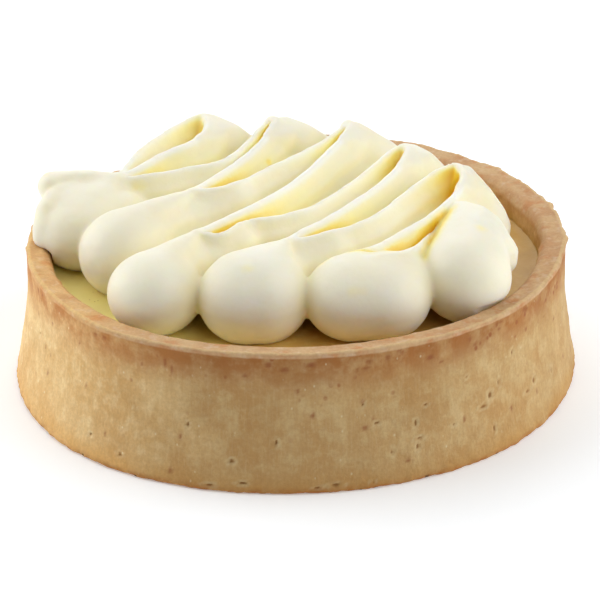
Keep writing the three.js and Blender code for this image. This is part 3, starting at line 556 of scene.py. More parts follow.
def cream_groups():
    G = []
    step = 0.4
    for i, (C, j) in enumerate(strokes()):
        n = len(C)
        out = outward(C)
        d = length(C)
        cr = crest_radius(d - d[j], d[-1] - d)
        C = C - np.stack([0 * cr, 0 * cr, cr - CREST_R], 1)
        dt = np.abs(d - d[j])
        w = np.where(np.arange(n) < j, np.exp(-(dt / 1.6) ** 2), np.exp(-(dt / 6.0) ** 2)) * LEAN[i]
        # the body cuts the corner that the crest makes where it leaves a merge
        body = C[:, :2].copy()
        k9 = int(np.searchsorted(d, 9.0))
        f = smooth(9.0, 4.0, d[:k9])[:, None] * 0.85
        body[:k9] = body[:k9] * (1 - f) + (C[0, :2] + (C[k9, :2] - C[0, :2]) * (d[:k9, None] / d[k9])) * f
        els = []
        for q in range(n):
            c, g, o, W = C[q], body[q], out[q], w[q]
            S = np.array([g[0] + o[0] * (0.2 + 2.3 * W), g[1] + o[1] * (0.2 + 2.3 * W), c[2] - 3.2 - 0.5 * W])
            rs = 2.1 + 1.2 * W
            B = np.array([g[0] + o[0] * (0.3 + 2.0 * W), g[1] + o[1] * (0.3 + 2.0 * W), BODY_Z + 0.5 * W])
            rb = float(np.clip(c[2] - BODY_Z - 0.55, 4.2, BODY_R)) + 0.1 * W
            els.append(blob(S, rs, c, cr[q]))
            els.append(blob(B, rb, S, rs))
        G.append(dict(el=els, k=0.3))
        # the hood's round outside
        sc, sr = np.array(SHOULDER[i][:3]), SHOULDER[i][3]
        els = []
        for q in range(n):
            if d[j] - 1.5 < d[q] < d[j] + 4.5:
                f = 1 - max(0, (d[q] - d[j]) / 4.5) * 0.55
                c = C[q]
                els.append(blob(c + (sc - c) * f, sr * f + 0.5 * (1 - f), c, cr[q] + 0.05))
        els.append(blob([sc[0] + FOOT[i][0], sc[1] + FOOT[i][1], BODY_Z], FOOT[i][2], sc, sr))
        cap, pr = np.array(CAP[i][:3]), CAP[i][3]
        els.append(blob(sc, sr, cap, pr))
        els.append(blob([cap[0], cap[1], BODY_Z + 1], 4.0, cap, pr))
        G.append(dict(el=els, k=1.1, round=True))
        # two of the hoods closed up narrow and stayed half full
        if i in (1, 2):
            inner, outer_side = C[:j + 1][::-1], C[j:]
            da, db = length(inner), length(outer_side)
            els = []
            for u in np.arange(0.6, 10.0, 0.4):
                a, g = (np.array([np.interp(u, dd, line[:, k]) for k in range(3)]) for dd, line in ((da, inner), (db, outer_side)))
                m, z = (a + g) / 2, min(a[2], g[2]) - 0.40 - 0.10 * u
                els.append(blob([m[0], m[1], z - 3.2], 1.8, [m[0], m[1], z - 0.55], 0.55))
            G.append(dict(el=els, k=0.5))
    # where the piping began
    C = resample(catmull([p[:3] for p in TAIL], 12), step)
    along_it = length(C) / length(C)[-1]
    knots = length(np.array([p[:3] for p in TAIL]))
    radius = np.interp(along_it, knots / knots[-1], [p[3] for p in TAIL])
    els = []
    for q, c in enumerate(C):
        t = along_it[q]
        f = float(smooth(0.0, 0.5, t))
        S = (c + np.array([0.3, -0.2, -0.6])) * (1 - f) + np.array([c[0] + .3, c[1] - 1.9, c[2] - 3.4]) * f
        B = (c + np.array([0.9, -0.6, -1.2])) * (1 - f) + np.array([c[0] + .3, c[1] - 3.2, BODY_Z + .4]) * f
        g = 1.3 * float(smooth(0.45, 1.0, t))
        els.append(blob(S, radius[q] * (1 - f) + 3.1 * f - 0.8 * g, c, radius[q]))
        els.append(blob(B, 2.4 * (1 - f) + 5.8 * f - g, S, radius[q] * (1 - f) + 3.1 * f - 0.8 * g))
    G.append(dict(el=els, k=0.8, round=True))
    lines = strokes()
    for i, (a, b, spread) in enumerate(BULB_SIZES):
        c0, M = np.array(BULBS[i], float), np.array(MERGES[i], float)
        heads = [c0 + [s, 0, 0] for s in (np.linspace(-spread, spread, 9) if spread else [0])]
        G.append(dict(el=[blob(c, a, c + [0, 0, 0.01], a) for c in heads], k=2.0 if i == 0 else 0.9, sz=a / b, round=True))
        els = []
        for c in ((heads[0], heads[-1]) if i < 4 else (heads[0],)):
            for t in np.linspace(0, 1, 30):
                u = t ** 1.4
                Cc = (c + [0, 0, b * .42]) * (1 - t) + M * t
                rc = b * .58 * (1 - u) + CREST_R * u
                Sc = (c + [0, 0, b * .2]) * (1 - t) + (M - [0, 0, 3.2]) * t
                rs = b * .8 * (1 - t) + 2.2 * t
                Bc = c * (1 - t) + np.array([M[0], M[1], BODY_Z]) * t
                els.append(blob(Sc, rs, Cc, rc))
                els.append(blob(Bc, b * .97 * (1 - t) + 5.3 * t, Sc, rs))
        for line in [lines[i][0][::-1]] + ([lines[i + 1][0]] if i < 4 else []):
            d = length(line)
            for u in np.arange(0.4, 4.5, 0.4):
                c = np.array([np.interp(u, d, line[:, k]) for k in range(3)])
                sink = 0.32 * u
                els.append(blob(c - [0, 0, 3.2 + 0.4 * sink], 2.2 - 0.8 * sink, c - [0, 0, sink], CREST_R * (1 - 0.5 * sink)))
                els.append(blob([c[0], c[1], BODY_Z], 5.3 - sink, c - [0, 0, 3.2 + 0.4 * sink], 2.2 - 0.8 * sink))
        G.append(dict(el=els, k=1.0))
        # cream that fills the corner between the neck and the stroke that leaves it
        if 0 < i < 4:
            c = heads[-1]
            line = lines[i + 1][0]
            d = length(line)
            A = (c + [0, 0, b * .42]) * 0.34 + M * 0.66
            B = np.array([np.interp(WEB[i], d, line[:, k]) for k in range(3)])
            els = []
            for t in np.linspace(0, 1, 20):
                p = A * (1 - t) + B * t
                drop = 0.66 + 0.8 * math.sin(math.pi * t)
                els.append(blob([p[0], p[1], p[2] - drop - 2.4], 2.7, [p[0], p[1], p[2] - drop - 0.8], 1.3))
                els.append(blob([p[0], p[1], BODY_Z], 4.4, [p[0], p[1], p[2] - drop - 2.4], 2.7))
            G.append(dict(el=els, k=1.6))
    # the last short stroke and the drop it ends in
    C = resample(catmull(LAST, 12), step)
    els = []
    for q, c in enumerate(C):
        t = q / (len(C) - 1)
        thin = float(smooth(0.25, 0.7, t))
        S = np.array([c[0], c[1], c[2] - 2.6])
        els.append(blob(S, 1.9 - 1.2 * thin, c, CREST_R - 0.24 * thin))
        els.append(blob([c[0] - .2 - .6 * t, c[1] + .9 + 1.8 * t, 20.4], 4.6 - 2.0 * t, S, 1.9 - 1.2 * thin))
    G.append(dict(el=els, k=0.3))
    G.append(dict(el=[blob(a[:3], a[3], b[:3], b[3]) for a, b in zip(DROP[:-1], DROP[1:])], k=0.6, round=True))
    G.append(dict(el=[blob(a[:3], a[3], b[:3], b[3]) for a, b in zip(FLAP[:-1], FLAP[1:])], k=1.8, round=True))
    G.append(dict(el=[blob(a[:3], a[3], b[:3], b[3]) for a, b in zip(LOBE[:-1], LOBE[1:])], k=0.6, round=True))
    G.append(dict(el=[blob(a[:3], a[3], b[:3], b[3]) for a, b in zip(BULGE[:-1], BULGE[1:])], k=1.2, round=True))
    return G


def sample(F, lo, h, P):
    """Trilinear value of grid F at points P."""
    q = (P - lo) / h
    n = np.array(F.shape) - 1.001
    q = np.clip(q, 0, n)
    i = q.astype(int)
    f = q - i
    out = 0
    for a in (0, 1):
        for b in (0, 1):
            for c in (0, 1):
                w = ((f[:, 0] if a else 1 - f[:, 0]) * (f[:, 1] if b else 1 - f[:, 1])
                     * (f[:, 2] if c else 1 - f[:, 2]))
                out = out + w * F[i[:, 0] + a, i[:, 1] + b, i[:, 2] + c]
    return out


def blur(G, sigma):
    r = int(math.ceil(2.5 * sigma))
    k = np.exp(-0.5 * (np.arange(-r, r + 1) / sigma) ** 2)
    k = (k / k.sum()).astype(np.float32)
    for axis in range(3):
        P = np.pad(G, [(r, r) if a == axis else (0, 0) for a in range(3)], mode="edge")
        out = np.zeros_like(G)
        for i, w in enumerate(k):
            sl = [slice(None)] * 3
            sl[axis] = slice(i, i + G.shape[axis])
            out += w * P[tuple(sl)]
        G = out
    return G


def openness(F, lo, h, P, N, reach=11.0):
    """Share of the sky that each surface point sees, by soft steps through the distance grid."""
    dirs = []
    k = 30
    for i in range(k):
        z = 1 - (i + 0.5) / k * 1.15
        a = i * 2.399963
        r = math.sqrt(max(0, 1 - z * z))
        dirs.append((r * math.cos(a), r * math.sin(a), z))
    dirs = np.array(dirs)
    top_i = np.array(F.shape) - 1
    total = np.zeros(len(P))
    weight = np.zeros(len(P))
    start = P + N * 0.35
    for d in dirs:
        w = np.clip(N @ d, 0, 1) + 0.02
        seen = np.ones(len(P))
        s = 0.35
        while s < reach:
            q = (start + d * s - lo) / h + 0.5
            i = np.clip(q.astype(int), 0, top_i)
            outside = (q < 0).any(1) | (q > top_i + 0.99).any(1)
            f = F[i[:, 0], i[:, 1], i[:, 2]]
            seen = np.minimum(seen, np.where(outside, 1, np.clip(0.5 + 2.2 * f / s, 0, 1)))
            s *= 1.22
        total += w * seen
        weight += w
    return total / weight


def relax(V, faces, times, a=0.5, b=-0.52):
    """Evens the grid's ripple out of a closed mesh without shrinking it."""
    E = np.vstack([faces[:, [0, 1]], faces[:, [1, 2]], faces[:, [2, 3]], faces[:, [3, 0]]])
    deg = np.bincount(E[:, 0], minlength=len(V))[:, None]
    V = V.copy()
    for _ in range(times):
        for w in (a, b):
            M = np.stack([np.bincount(E[:, 0], weights=V[E[:, 1], k], minlength=len(V)) for k in range(3)], 1) / deg
            V += w * (M - V)
    return V


# The hollows: how far each runs from its narrow end, how deep it goes and how strong its yellow is; that yellow is
# painted shade.
INSIDE_FOLD = [(14.0, 2.8, 0.62), (12.0, 0.8, 0.85), (12.0, 0.8, 0.85), (14.0, 2.6, 0.72), (12.0, 3.6, 0.95)]
BETWEEN = [(17.0, 4.0, 0.52), (15.0, 4.2, 0.82), (18.0, 4.6, 0.92), (17.0, 4.2, 0.80), (9.0, 4.0, 0.95)]
LIP = 0.46


def wedge(A, B, reach, deep, start):
    """Wedges down the middle between two crest lines that set off from the same point."""
    sa, sb = length(A), length(B)
    crest = np.vstack([A, B])[:, :2]
    out = []
    for u in np.arange(start, min(reach, sa[-1], sb[-1]), 0.45):
        a = np.array([np.interp(u, sa, A[:, k]) for k in range(3)])
        b = np.array([np.interp(u, sb, B[:, k]) for k in range(3)])
        m = (a + b) / 2
        z = min(a[2], b[2])
        gap = math.dist(a[:2], b[:2]) / 2 - LIP
        gap = min(gap, float(np.hypot(*(crest - m[:2]).T).min()) - LIP)
        f = float(smooth(start - 0.6, start + 1.2, u) * smooth(reach, reach * 0.45, u))
        if gap < 0.08 or f < 0.03:
            continue
        D = 0.6 + (deep - 0.6) * f
        low = min(0.9, 0.25 + 0.45 * gap) * (0.4 + 0.6 * f)
        low = min(low, gap)
        high = low + (gap * (0.5 + 0.5 * f) - low) * (D + 3) / D
        out.append(blob([m[0], m[1], z - D + low], low, [m[0], m[1], z + 3], max(high, low)))
    return out


def hollows():
    S = strokes()
    cuts = []
    for i, (C, j) in enumerate(S):
        cuts.append(dict(el=wedge(C[:j + 1][::-1], C[j:], INSIDE_FOLD[i][0], INSIDE_FOLD[i][1], 0.4), k=0.3))
        if i < 4:
            N, jn = S[i + 1]
            cuts.append(dict(el=wedge(C[j:][::-1], N[:jn + 1], BETWEEN[i][0], BETWEEN[i][1], 1.0), k=0.3))
    return [c for c in cuts if len(c["el"])]


def fold_values(P):
    """For each point of the cream: the yellow of the fold it lies in, painted shade, and how near the cut edge it is,
    for a painted highlight.
    """
    rows = []
    S = strokes()
    last = resample(catmull(LAST, 12), 0.4)
    for i, (C, j) in enumerate(S):
        d = length(C)
        o = outward(C)
        cr = crest_radius(d - d[j], d[-1] - d)
        for q in range(len(C)):
            come = q < j
            before = i - 1 if come else i
            g_in = INSIDE_FOLD[i][2] * math.exp(-(abs(d[q] - d[j]) / (0.72 * INSIDE_FOLD[i][0])) ** 2)
            s_end = d[q] if come else d[-1] - d[q]
            g_out = 0.0 if before < 0 else BETWEEN[before][2] * (0.12 + 0.88 * math.exp(-(s_end / (0.9 * BETWEEN[before][0])) ** 2))
            white = 0.5 if come else 1.0
            white = max(white, math.exp(-((d[q] - d[j]) / 5.0) ** 2))
            rows.append((*C[q], o[q][0], o[q][1], g_out, g_in, white, cr[q]))
    d = length(last)
    o = outward(last)
    for q in range(len(last)):
        t = d[q] / d[-1]
        rows.append((*last[q], o[q][0], o[q][1], BETWEEN[4][2], 0.75 * float(smooth(0.45, 0.7, t)), 0.75, CREST_R))
    for i, (a, b, spread) in enumerate(BULB_SIZES):
        c0, M = np.array(BULBS[i], float), np.array(MERGES[i], float)
        top_of = c0 + [-spread, 0, b * 0.95]
        for t in np.linspace(0, 1, 24):
            p = top_of * (1 - t) + M * t
            rows.append((*p, 0, 0, 0, 0, 0.55 * t * (i > 0), CREST_R))
    for a, b in zip(TAIL[:-1], TAIL[1:]):
        for t in np.linspace(0, 1, 6):
            p = np.array(a[:3]) * (1 - t) + np.array(b[:3]) * t
            rows.append((*p, 0, 0, 0, 0, 0.0, 1.2))
    T = np.array(rows, np.float32)
    gold = np.zeros(len(P))
    edge = np.zeros(len(P))
    P = P.astype(np.float32)
    for k in range(0, len(P), 4000):
        Q = P[k:k + 4000]
        D = np.zeros((len(Q), len(T)), np.float32)
        for c, w in ((0, 1.0), (1, 1.0), (2, 0.45)):
            D += w * (Q[:, c:c + 1] - T[None, :, c]) ** 2
        # a soft choice of the nearest few keeps the tint free of steps
        near = np.argpartition(D, 6, axis=1)[:, :6]
        dn = np.take_along_axis(D, near, 1)
        w = np.exp(-(dn - dn.min(1, keepdims=True)) / 0.5)
        w /= w.sum(1, keepdims=True)
        R = T[near]
        side = (Q[:, None, 0] - R[..., 0]) * R[..., 3] + (Q[:, None, 1] - R[..., 1]) * R[..., 4]
        depth = R[..., 2] + R[..., 8] - Q[:, None, 2]
        s = smooth(-0.5, 0.5, side)
        away = np.hypot(Q[:, None, 0] - R[..., 0], Q[:, None, 1] - R[..., 1])
        g = R[..., 5] * s * smooth(0.40, 1.4, depth) + R[..., 6] * (1 - s) * smooth(-0.1, 0.5, depth)
        gold[k:k + 4000] = (g * smooth(7.0, 3.5, away) * w).sum(1)
        true = np.sqrt(((Q[:, None, :] - R[..., :3]) ** 2).sum(-1)) - R[..., 8]
        edge[k:k + 4000] = (R[..., 7] * smooth(0.34, 0.02, true) * w).sum(1)
    # painted shade: yellow down the slits and round the nicks
    for path in SLITS:
        C = resample(catmull([q[:3] for q in path], 10), 0.3)
        near = np.full(len(P), 9.0)
        for c in C:
            off = P - c
            near = np.minimum(near, np.sqrt(off[:, 0] ** 2 + off[:, 1] ** 2 + (0.30 * (off[:, 2] - 1.0)) ** 2))
        gold = np.maximum(gold, path[0][4] * np.exp(-(near / 0.75) ** 2))
    for x, y, z, r, g in NICKS:
        gold = np.maximum(gold, g * np.exp(-(((P - [x, y, z]) ** 2).sum(1)) / r ** 2))
    return gold, edge * smooth(0.9, 0.5, gold)


def build_cream():
    lo0, hi0 = (-42, -33, 15.4), (38, 38, 33)
    F, lo, ax = field(cream_groups(), GRID, lo0, hi0)
    cuts = hollows()
    for path in SLITS:
        C = resample(catmull([p[:3] for p in path], 10), 0.4)
        e = []
        for q, c in enumerate(C):
            t = q / (len(C) - 1)
            f = float(smooth(-0.05, 0.25, t) * smooth(1.05, 0.75, t))
            up = 1.6 * (1 - f)
            e.append(blob(c + [0, 0, up], 0.26 * f + .04, [c[0], c[1] - .1, c[2] + 4.5], path[0][3] * f + .05))
        if path[0][3] > 0.2:
            cuts.append(dict(el=e, k=0.3))
    Fc, _, _ = field(cuts, GRID, lo0, hi0, k=.3)
    kk = .35
    m = np.maximum(kk - np.abs(F + Fc), 0)
    F = np.maximum(F, -Fc) + m * m / (4 * kk)
    Z = ax[2][None, None, :]
    R = np.sqrt(ax[0][:, None] ** 2 + ax[1][None, :] ** 2)[:, :, None]
    F = np.maximum(F, (CREAM_BASE - 0.35) - Z)
    rr = 0.8
    qx, qz = np.abs(R - 38.05) - (1.95 - rr), Z - (20.9 - rr)
    rim = np.sqrt(np.maximum(qx, 0) ** 2 + np.maximum(qz, 0) ** 2) + np.minimum(np.maximum(qx, qz), 0) - rr
    F = np.maximum(F, 0.12 - rim)
    V, faces = surface_nets(F, lo, GRID)
    V = relax(V, faces, 3)
    # the cream closes smoothly under each merge, away from the crests
    crests = np.vstack([C for C, _ in strokes()] + [resample(catmull(LAST, 12), 0.4)])
    part = np.zeros(len(V))
    for M in MERGES:
        off = V - (np.array(M, float) - [0, 0, 3.0])
        part = np.maximum(part, smooth(10.0, 5.0, np.sqrt((off ** 2).sum(1))))
    where = np.flatnonzero(part > 0)
    near = np.full(len(where), 9.0)
    for k in range(0, len(where), 4000):
        Q = V[where[k:k + 4000]].astype(np.float32)
        near[k:k + 4000] = np.sqrt(((Q[:, None, :] - crests[None].astype(np.float32)) ** 2).sum(-1).min(1))
    part[where] *= smooth(0.7, 1.8, near)
    V = V + (relax(V, faces, 70) - V) * part[:, None]
    # the skin is a little uneven, most of all round the tail and on the drop's far side
    a, b, c = (V[faces[:, k]] for k in (0, 1, 2)) if isinstance(faces, np.ndarray) else (V[[f[k] for f in faces]] for k in (0, 1, 2))
    fn = np.cross(b - a, c - a)
    vn = np.zeros_like(V)
    for k in range(len(faces[0])):
        for q in range(3):
            vn[:, q] += np.bincount(np.asarray([f[k] for f in faces]) if not isinstance(faces, np.ndarray) else faces[:, k], weights=fn[:, q], minlength=len(V))
    vn /= np.maximum(np.linalg.norm(vn, axis=1), 1e-9)[:, None]
    amount = 0.035 + 0.10 * np.exp(-((V - [28.2, -12.5, 27.5]) ** 2).sum(1) / 30) + 0.05 * smooth(-26, -33, V[:, 0])
    amount = amount * smooth(CREAM_BASE, CREAM_BASE + 1.5, V[:, 2])
    V = V + vn * (amount * (noise(V, 0.42, 61) + 0.6 * noise(V, 0.95, 62)))[:, None]
    ob = mesh_object("cream_piped", V, faces)
    mod = ob.modifiers.new("fewer", "DECIMATE")
    mod.ratio = min(1.0, 188000 / (2 * len(faces)))
    dg = bpy.context.evaluated_depsgraph_get()
    me = bpy.data.meshes.new_from_object(ob.evaluated_get(dg))
    ob.modifiers.clear()
    old = ob.data
    ob.data = me
    bpy.data.meshes.remove(old)
    me.name = "cream_piped"
    me.polygons.foreach_set("use_smooth", [True] * len(me.polygons))
    P = np.empty(len(me.vertices) * 3)
    me.vertices.foreach_get("co", P)
    P = P.reshape(-1, 3) / MM
    N = np.empty(len(me.vertices) * 3)
    me.vertices.foreach_get("normal", N)
    N = N.reshape(-1, 3)
    # the case and the filling shade the cream's foot too
    qz = FILLING_TOP - Z
    ground = np.minimum(F, np.minimum(np.maximum(-qz, R - 36), rim).astype(np.float32))
    see = openness(ground, lo, GRID, P, N)
    E = np.empty(len(me.edges) * 2, np.int64)
    me.edges.foreach_get("vertices", E)
    E = E.reshape(-1, 2)
    E = np.vstack([E, E[:, ::-1]])
    deg = np.maximum(np.bincount(E[:, 0], minlength=len(P)), 1)
    for _ in range(4):
        see = 0.5 * see + 0.5 * np.bincount(E[:, 0], weights=see[E[:, 1]], minlength=len(P)) / deg
    # undersides are out of the sky's sight, but they are no fold
    see = see + (1 - see) * smooth(0.15, -0.45, N[:, 2]) * 0.85
    add_value(ob, "open", see)
    gold, edge = fold_values(P)
    for _ in range(7):
        gold = 0.5 * gold + 0.5 * np.bincount(E[:, 0], weights=gold[E[:, 1]], minlength=len(P)) / deg
    add_value(ob, "fold", gold)
    add_value(ob, "under", smooth(0.05, -0.55, N[:, 2]))
    add_value(ob, "cut", edge)
    # thin ridges: little cream inside a small ball round the point
    solid = np.clip(0.5 - F / GRID, 0, 1).astype(np.float32)
    add_value(ob, "thin", sample(blur(solid, 0.7 / GRID), lo, GRID, P))
    return ob


# -------------------------------------------------------------- materials
class Nodes:
    def __init__(self, name):
        self.mat = bpy.data.materials.new(name)
        self.mat.use_nodes = True
        self.t = self.mat.node_tree
        self.t.nodes.clear()
        self.bsdf = self.add("ShaderNodeBsdfPrincipled")
        self.out = self.add("ShaderNodeOutputMaterial")
        self.t.links.new(self.bsdf.outputs[0], self.out.inputs["Surface"])
        self.coord = self.add("ShaderNodeTexCoord").outputs["Object"]

    def add(self, kind, **props):
        n = self.t.nodes.new(kind)
        for k, v in props.items():
            setattr(n, k, v)
        return n

    def link(self, a, b):
        self.t.links.new(a, b)

    def stretched(self, sx, sy, sz):
        m = self.add("ShaderNodeMapping")
        m.inputs["Scale"].default_value = (sx, sy, sz)
        self.link(self.coord, m.inputs["Vector"])
        return m.outputs[0]

    def noise(self, scale, detail=2.0, rough=0.5, vector=None, distortion=0.0):
        n = self.add("ShaderNodeTexNoise")
        n.inputs["Scale"].default_value = scale
        n.inputs["Detail"].default_value = detail
        n.inputs["Roughness"].default_value = rough
        n.inputs["Distortion"].default_value = distortion
        self.link(vector or self.coord, n.inputs["Vector"])
        return n.outputs["Fac"]

    def voronoi(self, scale, vector=None, out="Distance", feature="F1"):
        n = self.add("ShaderNodeTexVoronoi", feature=feature)
        n.inputs["Scale"].default_value = scale
        self.link(vector or self.coord, n.inputs["Vector"])
        return n.outputs[out]

    def value(self, name):
        return self.add("ShaderNodeAttribute", attribute_name=name).outputs["Fac"]

    def ramp(self, x, a, b, lo=0.0, hi=1.0, kind="SMOOTHSTEP"):
        n = self.add("ShaderNodeMapRange", interpolation_type=kind)
        n.inputs["From Min"].default_value = a
        n.inputs["From Max"].default_value = b
        n.inputs["To Min"].default_value = lo
        n.inputs["To Max"].default_value = hi
        self.link(x, n.inputs["Value"])
        return n.outputs[0]

    def math(self, op, a, b=None):
        n = self.add("ShaderNodeMath", operation=op)
        for i, v in enumerate((a, b)):
            if v is None:
                continue
            if isinstance(v, (int, float)):
                n.inputs[i].default_value = v
            else:
                self.link(v, n.inputs[i])
        return n.outputs[0]

    def mix(self, fac, a, b, mode="MIX"):
        n = self.add("ShaderNodeMix", data_type="RGBA", blend_type=mode)
        for sock, v in ((n.inputs[0], fac), (n.inputs[6], a), (n.inputs[7], b)):
            if isinstance(v, (int, float)):
                sock.default_value = v
            elif isinstance(v, tuple):
                sock.default_value = (*v, 1.0)
            else:
                self.link(v, sock)
        return n.outputs[2]

    def bump(self, height, strength, distance, before=None):
        n = self.add("ShaderNodeBump")
        n.inputs["Strength"].default_value = strength
        n.inputs["Distance"].default_value = distance
        self.link(height, n.inputs["Height"])
        if before is not None:
            self.link(before, n.inputs["Normal"])
        return n.outputs[0]

    def set(self, **v):
        for k, x in v.items():
            self.bsdf.inputs[k.replace("_", " ")].default_value = x


def lin(r, g, b):
    f = lambda c: c / 255 / 12.92 if c / 255 <= 0.04045 else ((c / 255 + 0.055) / 1.055) ** 2.4
    return (f(r), f(g), f(b))


def pastry_material():
    m = Nodes("pastry_baked")
    streaks = m.noise(1400, 3.0, 0.6, m.stretched(1, 1, 0.06))
    streaks2 = m.noise(3200, 2.0, 0.6, m.stretched(1, 1, 0.10))
    broad = m.noise(110, 3.0, 0.55)
    mottle = m.noise(520, 4.0, 0.6)
    fine = m.noise(2300, 3.0, 0.65)
    high = m.value("high")
    # ground colour: golden, more tan where it browned
    c = m.mix(m.ramp(broad, 0.35, 0.68), lin(226, 182, 124), lin(214, 162, 100))
    c = m.mix(m.ramp(mottle, 0.42, 0.66, 0, 0.55), c, lin(238, 203, 150))
    c = m.mix(m.ramp(streaks, 0.42, 0.64, 0, 0.22), c, lin(205, 150, 88))
    c = m.mix(m.ramp(m.noise(210, 3.0, 0.6), 0.44, 0.66, 0, 0.45), c, lin(204, 152, 92))
    c = m.mix(m.ramp(streaks2, 0.50, 0.72, 0, 0.16), c, lin(242, 212, 160))
    # browner towards the foot, and redder just under the rim, partly browning and partly painted shade under the rim's
    # overhang
    c = m.mix(m.math("MULTIPLY", m.ramp(high, 4.2, 0.8), m.ramp(m.noise(260, 3.0, 0.6), 0.30, 0.62, 0.30, 0.80)), c, lin(216, 158, 88))
    c = m.mix(m.math("MULTIPLY", m.ramp(high, 13.5, 19.8), m.ramp(m.noise(330, 3.0, 0.6), 0.32, 0.62, 0.40, 0.95)), c, lin(184, 112, 54))
    # small reddish flecks, thicker near the rim
    fleck = m.ramp(m.voronoi(620, m.stretched(1, 1, 0.8)), 0.26, 0.10)
    where = m.ramp(m.noise(240, 2.0, 0.5), 0.52, 0.66)
    c = m.mix(m.math("MULTIPLY", m.math("MULTIPLY", fleck, where), m.ramp(high, 9.0, 18.0, 0.20, 0.80)), c, lin(170, 92, 54))
    pale = m.ramp(m.voronoi(760, m.stretched(1, 1, 0.7)), 0.15, 0.05)
    c = m.mix(m.math("MULTIPLY", pale, m.ramp(m.noise(190, 2.0, 0.5), 0.48, 0.6, 0, 0.6)), c, lin(248, 226, 184))
    c = m.mix(m.math("MULTIPLY", m.value("speck"), 0.7), c, lin(160, 82, 46))
    c = m.mix(m.math("MULTIPLY", m.value("lip"), 0.35), c, lin(246, 222, 176))
    # painted shade: the pits darker and browner, as shade in their hollows
    c = m.mix(m.ramp(m.value("pit"), 0.25, 0.9, 0, 0.8), c, lin(150, 94, 46))
    # rim: paler and pinker, with a pale cream line along its outer edge that is a painted highlight
    # the fitted tone round the case, partly the crust's own bake and partly painted light and shade (see the table of
    # the wall's tone)
    pale = m.value("pale")
    c = m.mix(1.0, c, m.mix(m.ramp(pale, 0.0, 1.0, kind="LINEAR"), (0.74, 0.80, 0.80), (1.22, 1.38, 1.46)), "MULTIPLY")
    rimc = m.mix(m.ramp(m.noise(230, 3.0, 0.55), 0.36, 0.66), lin(238, 200, 150), lin(226, 178, 130))
    rimc = m.mix(m.ramp(m.noise(330, 3.0, 0.6), 0.50, 0.68, 0, 0.65), rimc, lin(226, 154, 96))
    rimc = m.mix(m.ramp(m.noise(620, 2.0, 0.6), 0.52, 0.70, 0, 0.50), rimc, lin(244, 216, 184))
    # painted highlight: a pale line along the rim's raised outer edge
    rimc = m.mix(m.ramp(m.value("edge"), 0.45, 0.95, 0, 0.6), rimc, lin(250, 220, 164))
    # painted light on the rim too: paler and yellower where the wall's tone is palest
    rimc = m.mix(1.0, rimc, m.mix(m.ramp(pale, 0.45, 1.0, kind="LINEAR"), (0.77, 0.765, 0.76), (0.96, 0.90, 0.74)), "MULTIPLY")
    c = m.mix(m.ramp(m.value("rim"), 0.2, 0.8), c, rimc)
    inside = m.mix(m.ramp(m.noise(180, 3.0, 0.6), 0.38, 0.66), lin(214, 176, 118), lin(196, 152, 92))
    inside = m.mix(m.ramp(m.noise(480, 3.0, 0.6), 0.50, 0.72, 0, 0.5), inside, lin(222, 188, 136))
    # the inside turns darker and more olive towards the curd, unevenly
    inside_height_uneven = m.math("ADD", high, m.ramp(m.noise(300, 3.0, 0.6), 0.3, 0.7, -0.7, 0.7))
    inside = m.mix(m.ramp(inside_height_uneven, 18.3, 17.0, 0, 0.85), inside, lin(196, 158, 88))
    c = m.mix(m.math("MULTIPLY", m.value("inner"), 0.95), c, inside)
    # toasted line round the foot, scorched in places
    c = m.mix(m.math("MULTIPLY", m.ramp(high, 1.3, 0.25), m.ramp(m.noise(420, 3.0, 0.6), 0.36, 0.62, 0.25, 0.95)), c, lin(180, 116, 54))
    c = m.mix(m.math("MULTIPLY", m.ramp(high, 0.75, 0.35), m.ramp(m.noise(700, 2.0, 0.5), 0.63, 0.70)), c, lin(84, 56, 30))
    c = m.mix(m.ramp(fine, 0.35, 0.65, 0, 0.16), c, lin(150, 104, 60))
    m.link(c, m.bsdf.inputs["Base Color"])
    h = m.bump(fine, 0.35, 0.00025)
    h = m.bump(streaks, 0.15, 0.00025, h)
    h = m.bump(mottle, 0.35, 0.0004, h)
    m.link(h, m.bsdf.inputs["Normal"])
    m.link(m.ramp(mottle, 0.3, 0.7, 0.62, 0.85), m.bsdf.inputs["Roughness"])
    m.set(Specular_IOR_Level=0.25, Subsurface_Weight=0.08, Subsurface_Scale=0.001)
    m.bsdf.inputs["Subsurface Radius"].default_value = (1.0, 0.6, 0.35)
    return m.mat


def curd_material():
    m = Nodes("curd_set")
    a = m.noise(160, 3.0, 0.55)
    b = m.noise(700, 3.0, 0.6)
    c = m.mix(m.ramp(a, 0.35, 0.65), lin(226, 185, 100), lin(214, 170, 86))
    c = m.mix(m.ramp(b, 0.48, 0.68, 0, 0.35), c, lin(240, 216, 140))
    # painted light and shade: the curd's left side paler and its right side deeper, standing in for how the lamps fall;
    # fitted like the wall's tone
    across = m.add("ShaderNodeSeparateXYZ")
    m.link(m.coord, across.inputs[0])
    c = m.mix(m.ramp(across.outputs[0], 0.004, -0.024, 0, 0.95), c, lin(255, 240, 156))
    c = m.mix(m.ramp(across.outputs[0], 0.012, 0.030, 0, 0.45), c, lin(200, 162, 92))
    speck = m.ramp(m.voronoi(900), 0.14, 0.05)
    c = m.mix(m.math("MULTIPLY", speck, m.ramp(m.noise(300, 2.0, 0.5), 0.5, 0.6, 0, 0.5)), c, lin(170, 122, 50))
    m.link(c, m.bsdf.inputs["Base Color"])
    h = m.bump(b, 0.25, 0.0003)
    m.link(m.bump(a, 0.3, 0.0008, h), m.bsdf.inputs["Normal"])
    m.link(m.ramp(b, 0.3, 0.7, 0.28, 0.42), m.bsdf.inputs["Roughness"])
    m.set(Specular_IOR_Level=0.45, Subsurface_Weight=0.25, Subsurface_Scale=0.0015)
    m.bsdf.inputs["Subsurface Radius"].default_value = (1.0, 0.7, 0.25)
    return m.mat


